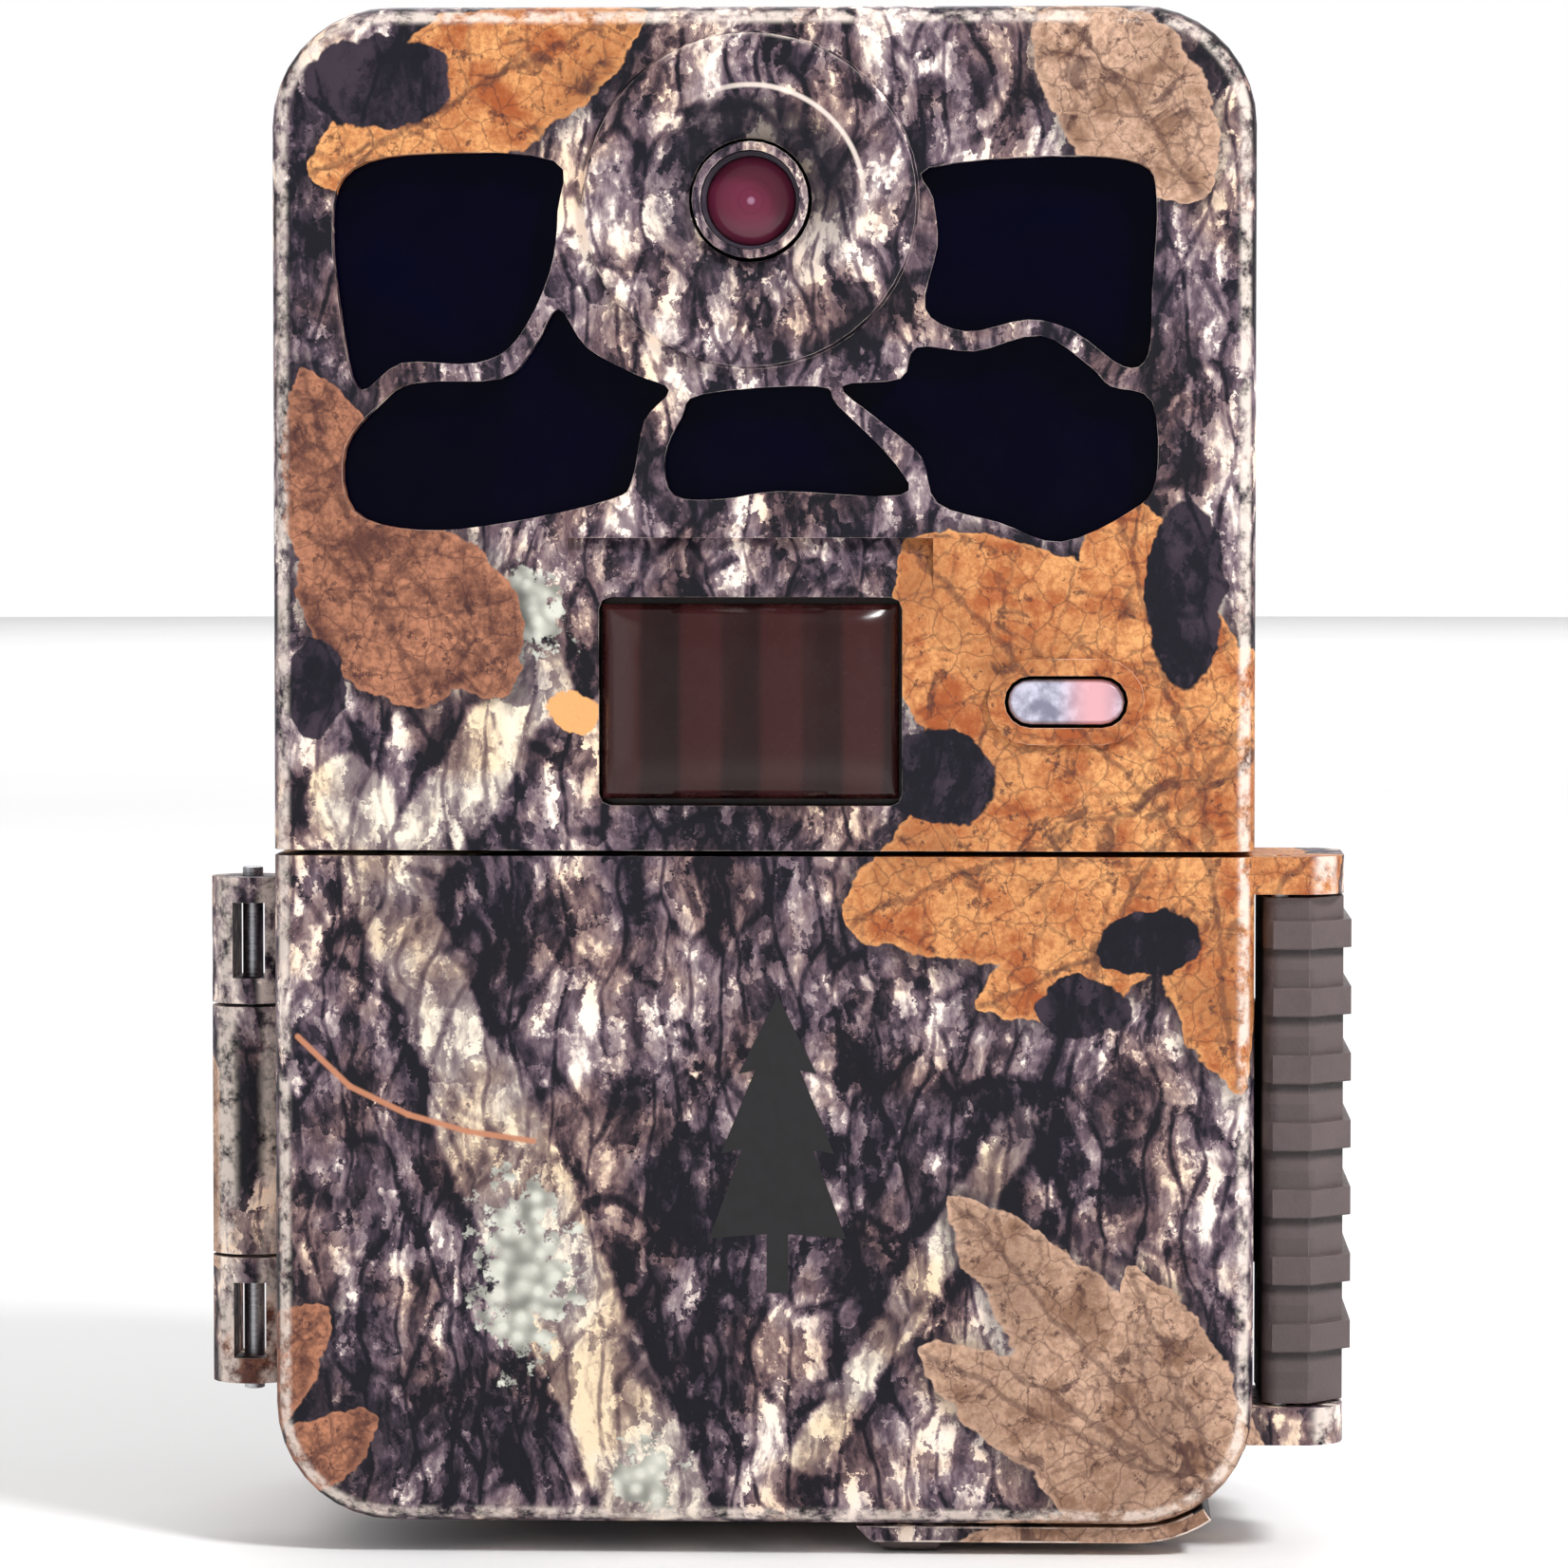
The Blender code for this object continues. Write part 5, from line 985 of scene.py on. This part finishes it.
def light_caps(radius, height):
    """Low epoxy caps over the infrared lights."""
    low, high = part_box("infrared_led_board")
    pitch, inset = CAP_PITCH * MM, CAP_INSET * MM
    across = int((high[0] - low[0] - 2 * inset) // pitch) + 1
    points = [(low[0] + inset + column * pitch, low[1], low[2] + row * MM)
              for row in CAP_ROWS for column in range(across)]
    return grown("infrared_light_caps", points, dome_shape, (
        ("Sides", 16), ("Radius", radius), ("Height", height), ("Flattening", CAP_FLATTENING)),
                 "led", "case")


def lens_baffle():
    """A stepped black ring in the barrel's mouth, round the rim of the glass."""
    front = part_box("lens_glass")[0][1] - GLASS_AHEAD * MM
    outer, inner, steps, deep = BORE_CLEAR * MM, (GLASS_RIM + 0.05) * MM, 3, 0.5 * MM
    profile = [(outer, front - 0.1 * MM), (outer, front - 0.1 * MM - steps * deep)]
    for step in range(steps):
        radius = outer - (outer - inner) * (step + 1) / steps
        depth = front - 0.1 * MM - (steps - step) * deep
        profile += [(radius, depth), (radius, depth + deep)]
    mesh = shaded("lens_baffle", turned(profile, centre_of("lens_glass"), closed=True))
    return add_piece("lens_baffle", mesh, "bore", "case")


def lens_dome():
    """The domed front glass, its rim wider than its stem, which sits in the barrel's throat."""
    low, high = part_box("lens_glass")
    stem, rim, arc = (high[0] - low[0]) / 2 - 0.05 * MM, GLASS_RIM * MM, 14
    shoulder = low[1] - (GLASS_AHEAD - 0.1) * MM
    profile = [(0.0, high[1]), (stem, high[1]), (stem, shoulder), (rim, shoulder)]
    for step in range(arc + 1):
        turn = step / arc * math.pi / 2
        profile.append((rim * math.cos(turn), shoulder - (0.25 + 0.65 * math.sin(turn)) * MM))
    profile[-1] = (0.0, profile[-1][1])
    mesh = shaded("lens_glass_dome", turned(profile, centre_of("lens_glass")))
    return add_piece("lens_glass_dome", mesh, "lens", "case", ("lens_glass",))


def motion_window():
    """The bowed window of the motion sensor: a smooth bulge with a flange behind the housing's wall."""
    low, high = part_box("motion_lens")
    lap, gap = WINDOW_LAP * MM, WINDOW_GAP * MM
    x, z = (low[0] + high[0]) / 2, (low[2] + high[2]) / 2
    wide, tall = (high[0] - low[0]) / 2 - lap - gap, (high[2] - low[2]) / 2 - lap - gap
    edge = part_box("front_door")[0][1] + WINDOW_EDGE * MM
    bulge = edge - low[1]
    lap_front = high[1] - 1.0 * MM
    shape = bmesh.new()

    def row_of(up):
        v = 2 * up / WINDOW_UP - 1
        row = []
        for across in range(WINDOW_ACROSS + 1):
            u = 2 * across / WINDOW_ACROSS - 1
            bow = (1 - abs(u) ** 2.6) ** 0.55 * (1 - abs(v) ** 9) ** 0.45
            row.append(shape.verts.new((x + wide * u, edge - bulge * bow, z + tall * v)))
        return row

    rows = [row_of(up) for up in range(WINDOW_UP + 1)]
    for lower, upper in zip(rows, rows[1:]):
        for a, b, c, d in zip(lower, lower[1:], upper[1:], upper):
            shape.faces.new((a, b, c, d))
    border = rows[0] + [row[-1] for row in rows[1:-1]] + rows[-1][::-1] + [row[0] for row in rows[-2:0:-1]]
    loops = [border]
    for grow, depth in ((0.0, lap_front), (lap, lap_front), (lap, high[1])):
        grown_wide, grown_tall = (wide + grow) / wide, (tall + grow) / tall
        loops.append([shape.verts.new((x + (p.co.x - x) * grown_wide, depth, z + (p.co.z - z) * grown_tall))
                      for p in border])
    for first, second in zip(loops, loops[1:]):
        for index in range(len(border)):
            after = (index + 1) % len(border)
            shape.faces.new((first[index], first[after], second[after], second[index]))
    shape.faces.new(loops[-1])
    bmesh.ops.recalc_face_normals(shape, faces=shape.faces)
    return add_piece("motion_window", shaded("motion_window", shape), "motion", "case",
                     ("motion_lens",))


def mark_outlines(button):
    """The outlines drawn on one button, in millimetres from its middle."""
    arrow = ((0.0, 1.5), (1.5, -0.9), (-1.5, -0.9))
    turns = {"up": 0, "left": 1, "down": 2, "right": 3}
    if button in turns:
        angle = turns[button] * math.pi / 2
        return [[(x * math.cos(angle) - z * math.sin(angle), x * math.sin(angle) + z * math.cos(angle))
                 for x, z in arrow]]
    if button == "ok":
        return [[(1.2 * math.cos(math.tau * k / 24), 1.2 * math.sin(math.tau * k / 24)) for k in range(24)]]
    return [[(-1.5, z), (1.5, z), (1.5, z + 0.5), (-1.5, z + 0.5)] for z in (-1.5, -0.25, 1.0)]


def button_mark(button):
    """A raised, painted sign on one button."""
    x, _, z = centre_of("button_" + button)
    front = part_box("button_" + button)[0][1]
    plates = [prism([(x + a * MM, z + b * MM) for a, b in outline], front - 0.05 * MM, front + 0.2 * MM)
              for outline in mark_outlines(button)]
    name = "button_" + button + "_mark"
    return add_piece(name, shaded(name, joined(*plates)), "white_ink", "button_" + button)


def contact_springs(wire):
    """The coiled contacts over the batteries."""
    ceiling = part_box("battery_terminal_plate")[0][2]
    points = []
    for number in range(5, 9):
        low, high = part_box(f"battery_{number}")
        points.append(((low[0] + high[0]) / 2, (low[1] + high[1]) / 2, high[2] + SPRING_GAP * MM + wire))
    height = ceiling - points[0][2] - SPRING_GAP * MM - wire
    return grown("battery_contact_springs", points, spring_shape, (
        ("Turns", 2.5), ("Wide", 3.4 * MM), ("Narrow", 1.6 * MM), ("Height", height), ("Wire", wire)),
                 "steel", "case")


# ---------------------------------------------------------------- settings


def colour_setting(name, description, red, green, blue):
    return bpy.props.FloatVectorProperty(name=name, description=description, subtype="COLOR", size=3, min=0.0,
                                         max=1.0, default=linear(red, green, blue)[:3])


def length_setting(name, description, millimetres, least=0.0):
    return bpy.props.FloatProperty(name=name, description=description, default=millimetres * MM,
                                   min=least * MM, unit="LENGTH", precision=5)


def plain_setting(name, description, value, **limits):
    return bpy.props.FloatProperty(name=name, description=description, default=value, **limits)


class TrailCameraLooks(bpy.types.PropertyGroup):
    """The colours and grain of the finishes."""

    # bark_black also colours the painted shade inside the lens recess.
    bark_black: colour_setting("Bark black", "The deepest gaps in the printed bark", 16, 14, 28)
    bark_dark: colour_setting("Bark dark", "Shaded bark", 58, 48, 60)
    bark_middle: colour_setting("Bark middle", "Most of the bark", 106, 88, 99)
    bark_light: colour_setting("Bark light", "Bark facing the light", 154, 137, 141)
    # bark_pale also colours the painted highlights on the case's edges and on the rim of the lens recess.
    bark_pale: colour_setting("Bark pale", "Bright flecks and rubbed edges", 255, 238, 226)
    bark_tint: colour_setting("Bark tint", "Warms parts of the bark", 255, 240, 220)
    moss: colour_setting("Moss", "Greens the pale limb", 232, 240, 220)
    lichen: colour_setting("Lichen", "Crusts on the limb", 216, 216, 204)
    orange_dark: colour_setting("Orange leaf dark", "The browner parts of the large leaf", 160, 84, 46)
    orange_light: colour_setting("Orange leaf light", "The yellower parts of the large leaf", 234, 168, 108)
    tan_dark: colour_setting("Tan leaf dark", "The browner parts of the oak leaf", 134, 100, 80)
    tan_light: colour_setting("Tan leaf light", "The paler parts of the oak leaf", 220, 180, 154)
    rust_dark: colour_setting("Rust leaf dark", "The browner parts of the rust leaf", 92, 56, 48)
    rust_light: colour_setting("Rust leaf light", "The paler parts of the rust leaf", 190, 128, 98)
    leaf_spot: colour_setting("Leaf spots", "Veins and spots on every leaf", 64, 38, 40)
    latch_tint: colour_setting("Latch", "The soft plastic of the latch", 98, 85, 85)
    filter_tint: colour_setting("Infrared filter", "The plastic over the infrared lights", 0, 3, 34)
    motion_tint: colour_setting("Motion window", "The smoky plastic of the motion sensor", 34, 17, 17)
    lens_tint: colour_setting("Lens coating", "The colour deep in the lens", 108, 40, 64)
    pipe_tint: colour_setting("Indicator", "The milky light pipe", 128, 126, 146)
    grain: plain_setting("Bark grain", "Grains of bark in a millimetre", 0.85, min=0.1, max=4.0)
    bark_stretch: plain_setting("Bark squash", "How far the grain runs upwards: less is longer", 0.5,
                                min=0.1, max=1.0)


class TrailCameraSizes(bpy.types.PropertyGroup):
    """The roundings and small parts that the frame leaves plain."""

    case_rounding: length_setting("Case edges", "Rounding of the shells' edges", 0.25)
    trim_rounding: length_setting("Trim edges", "Rounding of small moulded parts", 0.18)
    latch_rounding: length_setting("Latch edges", "Rounding of the latch and its ribs", 0.45)
    steel_rounding: length_setting("Steel edges", "Rounding of pressed and turned metal", 0.15)
    cap_radius: length_setting("Light caps", "Radius of the caps on the infrared lights", 1.7, 0.1)
    spring_wire: length_setting("Spring wire", "Radius of the contact springs' wire", 0.22, 0.05)


class TrailCameraStage(bpy.types.PropertyGroup):
    """The camera and the light."""

    azimuth: plain_setting("Azimuth", "How far round the camera stands", math.radians(2.4), subtype="ANGLE")
    elevation: plain_setting("Elevation", "How far above level the camera stands", math.radians(2.6),
                             subtype="ANGLE")
    distance: plain_setting("Distance", "From the camera to the case's front", 0.55, min=0.1, unit="LENGTH")
    width: plain_setting("View width", "Width of the view at the case's front", 0.1322, min=0.01,
                         unit="LENGTH", precision=4)
    key_power: plain_setting("Key light", "Power of the large light, in watts", 7.0)
    fill_power: plain_setting("Fill light", "Power of the side light, in watts", 1.2)
    floor_power: plain_setting("Floor light", "Power of the light over the far floor, in watts", 60.0)
    surround: plain_setting("Surround", "Strength of the even light all round", 0.5)


# ---------------------------------------------------------------- operators

# Each light's name, its place in metres, the setting that holds its power, and its size in metres.
LIGHTS = (
    ("key_light", (0.5, -0.55, 0.62), "key_power", 0.2),
    ("fill_light", (-0.75, -0.6, 0.2), "fill_power", 0.7),
    ("back_light", (-0.3, 0.7, 0.6), "fill_power", 0.7),
    ("floor_light", (0.0, 2.8, 2.4), "floor_power", 3.0),
)
LIT_PLACE = (0.0, -0.06, 0.0)
VIEW_MIDDLE = (0.00184, -0.00125)
FLOOR_RADIUS = 4.0
FLOOR_DROP = 0.2


class TRAILCAM_OT_case(bpy.types.Operator):
    """Build the camouflaged shells and the mark on the door"""

    bl_idname = "trailcam.case"
    bl_label = "Case Shells"

    def execute(self, context):
        width = context.scene.trailcam_sizes.case_rounding
        for node in ("front_housing", "rear_housing", "front_door"):
            finish_node(node, "camo", width)
        pine_mark()
        return {"FINISHED"}


class TRAILCAM_OT_infrared(bpy.types.Operator):
    """Build the dark filter and the infrared lights behind it"""

    bl_idname = "trailcam.infrared"
    bl_label = "Infrared Lights"

    def execute(self, context):
        sizes = context.scene.trailcam_sizes
        finish_node("ir_filter_window", "filter", sizes.trim_rounding)
        dress_node("infrared_led_board", "board")
        light_caps(sizes.cap_radius, CAP_HEIGHT * MM)
        return {"FINISHED"}


class TRAILCAM_OT_lens(bpy.types.Operator):
    """Build the lens barrel, its rings, its glass and the image sensor"""

    bl_idname = "trailcam.lens"
    bl_label = "Camera Lens"

    def execute(self, context):
        width = context.scene.trailcam_sizes.trim_rounding
        barrel = finish_node("lens_barrel", "bore", width)
        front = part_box("lens_barrel")[0][1] + BARREL_PRINTED * MM
        two_finishes(barrel, ("bore", "camo"), lambda centre: centre.y < front)
        lens_baffle()
        lens_dome()
        dress_node("image_sensor", "black_plastic")
        return {"FINISHED"}


class TRAILCAM_OT_motion(bpy.types.Operator):
    """Build the motion sensor's window and the indicator light"""

    bl_idname = "trailcam.motion"
    bl_label = "Motion Window and Indicator"

    def execute(self, context):
        motion_window()
        dress_node("motion_sensor", "steel")
        finish_node("indicator_lens", "milky", context.scene.trailcam_sizes.trim_rounding)
        dress_node("status_led", "led")
        return {"FINISHED"}


def latch_stop():
    """A low bar on the case's side, behind the latch, which closes the gap beside it."""
    low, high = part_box("latch")
    across, deep = CASE_HIGH[0] - STOP_SUNK * MM, high[1] + STOP_CLEAR * MM
    spans = ((across, across + STOP_WIDE * MM), (deep, deep + STOP_DEEP * MM), (low[2], high[2]))
    shape = bmesh.new()
    bmesh.ops.create_cube(shape, size=1.0)
    for point in shape.verts:
        for axis, (start, end) in enumerate(spans):
            point.co[axis] = start if point.co[axis] < 0 else end
    bmesh.ops.bevel(shape, geom=sharp_edges(shape), offset=STOP_ROUND * MM, segments=3, profile=0.5,
                    affect="EDGES", clamp_overlap=True)
    return add_piece("latch_stop_bar", shaded("latch_stop_bar", shape), "camo", "case")


def rounded_latch(width):
    """The latch with its side ribs lowered and every rib well rounded."""
    shape = merged("latch")
    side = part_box("latch")[1][0] - RIB_PROUD * MM
    for point in shape.verts:
        if point.co.x > side + 0.05 * MM:
            point.co.x = side + (point.co.x - side) * RIB_KEPT
    round_edges(shape, sharp_edges(shape, RIB_SHARP), width, 3)
    mesh = shaded("latch_finished", shape)
    return add_piece("latch_finished", mesh, "latch", "latch", ("latch",))


class TRAILCAM_OT_latch(bpy.types.Operator):
    """Build the ribbed latch and the pins of the latch and the hinge"""

    bl_idname = "trailcam.latch"
    bl_label = "Latch and Hinge"

    def execute(self, context):
        sizes = context.scene.trailcam_sizes
        rounded_latch(sizes.latch_rounding)
        latch_stop()
        for node in ("latch_pin", "hinge_pin"):
            finish_node(node, "steel", sizes.steel_rounding)
        return {"FINISHED"}


class TRAILCAM_OT_controls(bpy.types.Operator):
    """Build the control deck with its seal, screen, buttons, switch and memory card"""

    bl_idname = "trailcam.controls"
    bl_label = "Control Deck"

    def execute(self, context):
        width = context.scene.trailcam_sizes.trim_rounding
        finish_node("control_deck", "black_plastic", width)
        finish_node("door_seal", "rubber", width)
        finish_node("display_screen", "screen", width)
        finish_node("power_switch", "button", width)
        finish_node("memory_card", "card", width)
        for button in ("up", "down", "left", "right", "ok", "mode"):
            finish_node("button_" + button, "button", width)
            button_mark(button)
        dress_node("memory_card_socket", "steel")
        dress_node("keypad_board", "board")
        dress_node("main_board", "board")
        return {"FINISHED"}


class TRAILCAM_OT_power(bpy.types.Operator):
    """Build the battery tray with its cells, contacts and release tab, and the power jack with its plug"""

    bl_idname = "trailcam.power"
    bl_label = "Battery Tray and Power Jack"

    def execute(self, context):
        sizes = context.scene.trailcam_sizes
        tray = finish_node("tray_frame", "black_plastic", sizes.trim_rounding)
        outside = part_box("battery_1")[0][2] - 2.4 * MM
        two_finishes(tray, ("black_plastic", "camo"), lambda centre: centre.z < outside)
        for number in range(1, 9):
            node = f"battery_{number}"
            cell = finish_node(node, "cell", sizes.steel_rounding)
            low, high = (corner[2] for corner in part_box(node))
            two_finishes(cell, ("cell", "steel"), lambda centre: not (
                low + CELL_END * MM < centre.z < high - 2 * CELL_END * MM))
        finish_node("tray_release_tab", "latch", sizes.trim_rounding)
        dress_node("battery_terminal_plate", "board")
        contact_springs(sizes.spring_wire)
        dress_node("power_jack", "black_plastic")
        finish_node("power_jack_plug", "rubber", sizes.trim_rounding)
        return {"FINISHED"}


class TRAILCAM_OT_mount(bpy.types.Operator):
    """Build the tree bracket, its bolt and knob, the tripod insert and the case screws"""

    bl_idname = "trailcam.mount"
    bl_label = "Tree Bracket and Fastenings"

    def execute(self, context):
        sizes = context.scene.trailcam_sizes
        finish_node("tree_bracket", "coated_steel", sizes.case_rounding)
        finish_node("tilt_knob", "black_plastic", sizes.case_rounding)
        finish_node("pivot_bolt", "steel", sizes.steel_rounding)
        finish_node("tripod_insert", "brass", sizes.steel_rounding)
        for number in range(1, 5):
            finish_node(f"case_screw_{number}", "steel", sizes.steel_rounding)
        return {"FINISHED"}


class TRAILCAM_OT_stage(bpy.types.Operator):
    """Set the pale floor, the soft lights and the camera"""

    bl_idname = "trailcam.stage"
    bl_label = "Floor, Lights and Camera"

    def execute(self, context):
        stage = context.scene.trailcam_stage
        floor_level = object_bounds()[0][2] - FLOOR_DROP * MM
        shape = bmesh.new()
        bmesh.ops.create_circle(shape, cap_ends=True, segments=96, radius=FLOOR_RADIUS)
        bmesh.ops.translate(shape, verts=shape.verts, vec=(0.0, 0.0, floor_level))
        mesh = bpy.data.meshes.new("floor")
        shape.to_mesh(mesh)
        shape.free()
        material, tree, shader = fresh_material("pale_floor", **{"Specular IOR Level": 0.1})
        place = surface_millimetres(tree)
        cloud = noise(tree, place, 0.01, 3.0)
        colour = blend_colour(tree, cloud, linear(250, 250, 250), linear(255, 255, 255))
        connect(tree, shader, colour, fade(tree, cloud, 0.3, 0.7, 0.7, 0.8), cloud, 0.00002)
        mesh.materials.append(material)
        floor = bpy.data.objects.new("floor", mesh)
        context.scene.collection.objects.link(floor)
        floor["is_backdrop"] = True

        world = bpy.data.worlds.new("studio")
        world.use_nodes = True
        seen = tree_node(world.node_tree, "ShaderNodeLightPath").outputs["Is Camera Ray"]
        strength = math_of(world.node_tree, "MULTIPLY_ADD", seen, 1.0 - stage.surround, stage.surround)
        background = world.node_tree.nodes["Background"]
        background.inputs[0].default_value = (1.0, 1.0, 1.0, 1.0)
        world.node_tree.links.new(strength, background.inputs[1])
        context.scene.world = world
        context.scene.view_settings.view_transform = "Standard"

        for name, place, power, size in LIGHTS:
            light = bpy.data.lights.new(name, "AREA")
            light.energy, light.size, light.shape = getattr(stage, power), size, "DISK"
            lamp = bpy.data.objects.new(name, light)
            lamp.location = place
            lamp.rotation_euler = (Vector(LIT_PLACE) - Vector(place)).to_track_quat("-Z", "Y").to_euler()
            context.scene.collection.objects.link(lamp)

        middle = Vector((VIEW_MIDDLE[0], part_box("front_door")[0][1], VIEW_MIDDLE[1]))
        back = Vector((math.sin(stage.azimuth) * math.cos(stage.elevation),
                       -math.cos(stage.azimuth) * math.cos(stage.elevation), math.sin(stage.elevation)))
        lens = bpy.data.cameras.new("camera")
        lens.lens = lens.sensor_width * stage.distance / stage.width
        lens.clip_start, lens.clip_end = 0.01, 20.0
        camera = bpy.data.objects.new("camera", lens)
        camera.location = middle + back * stage.distance
        camera.rotation_euler = (-back).to_track_quat("-Z", "Y").to_euler()
        context.scene.collection.objects.link(camera)
        context.scene.camera = camera
        return {"FINISHED"}


class TRAILCAM_PT_panel(bpy.types.Panel):
    """Lists the pieces to build and their settings."""

    bl_idname = "TRAILCAM_PT_panel"
    bl_label = "Trail Camera"
    bl_space_type = "VIEW_3D"
    bl_region_type = "UI"
    bl_category = "Trail Camera"

    def draw(self, context):
        for operator in OPERATORS:
            self.layout.operator(operator.bl_idname)
        scene = context.scene
        for group in (scene.trailcam_sizes, scene.trailcam_looks, scene.trailcam_stage):
            box = self.layout.box()
            for name in group.bl_rna.properties.keys():
                if name not in ("rna_type", "name"):
                    box.prop(group, name)


OPERATORS = (
    TRAILCAM_OT_case, TRAILCAM_OT_infrared, TRAILCAM_OT_lens, TRAILCAM_OT_motion, TRAILCAM_OT_latch,
    TRAILCAM_OT_controls, TRAILCAM_OT_power, TRAILCAM_OT_mount, TRAILCAM_OT_stage,
)
GROUPS = (TrailCameraLooks, TrailCameraSizes, TrailCameraStage)


def register():
    for kind in GROUPS + OPERATORS + (TRAILCAM_PT_panel,):
        bpy.utils.register_class(kind)
    for name, kind in zip(("looks", "sizes", "stage"), GROUPS):
        setattr(bpy.types.Scene, "trailcam_" + name, bpy.props.PointerProperty(type=kind))


def unregister():
    for name in ("looks", "sizes", "stage"):
        delattr(bpy.types.Scene, "trailcam_" + name)
    for kind in reversed(GROUPS + OPERATORS + (TRAILCAM_PT_panel,)):
        bpy.utils.unregister_class(kind)


def main():
    register()
    FINISHES.update(make_finishes(bpy.context.scene.trailcam_looks))
    for operator in OPERATORS:
        family, name = operator.bl_idname.split(".")
        getattr(getattr(bpy.ops, family), name)()


if __name__ == "__main__":
    main()
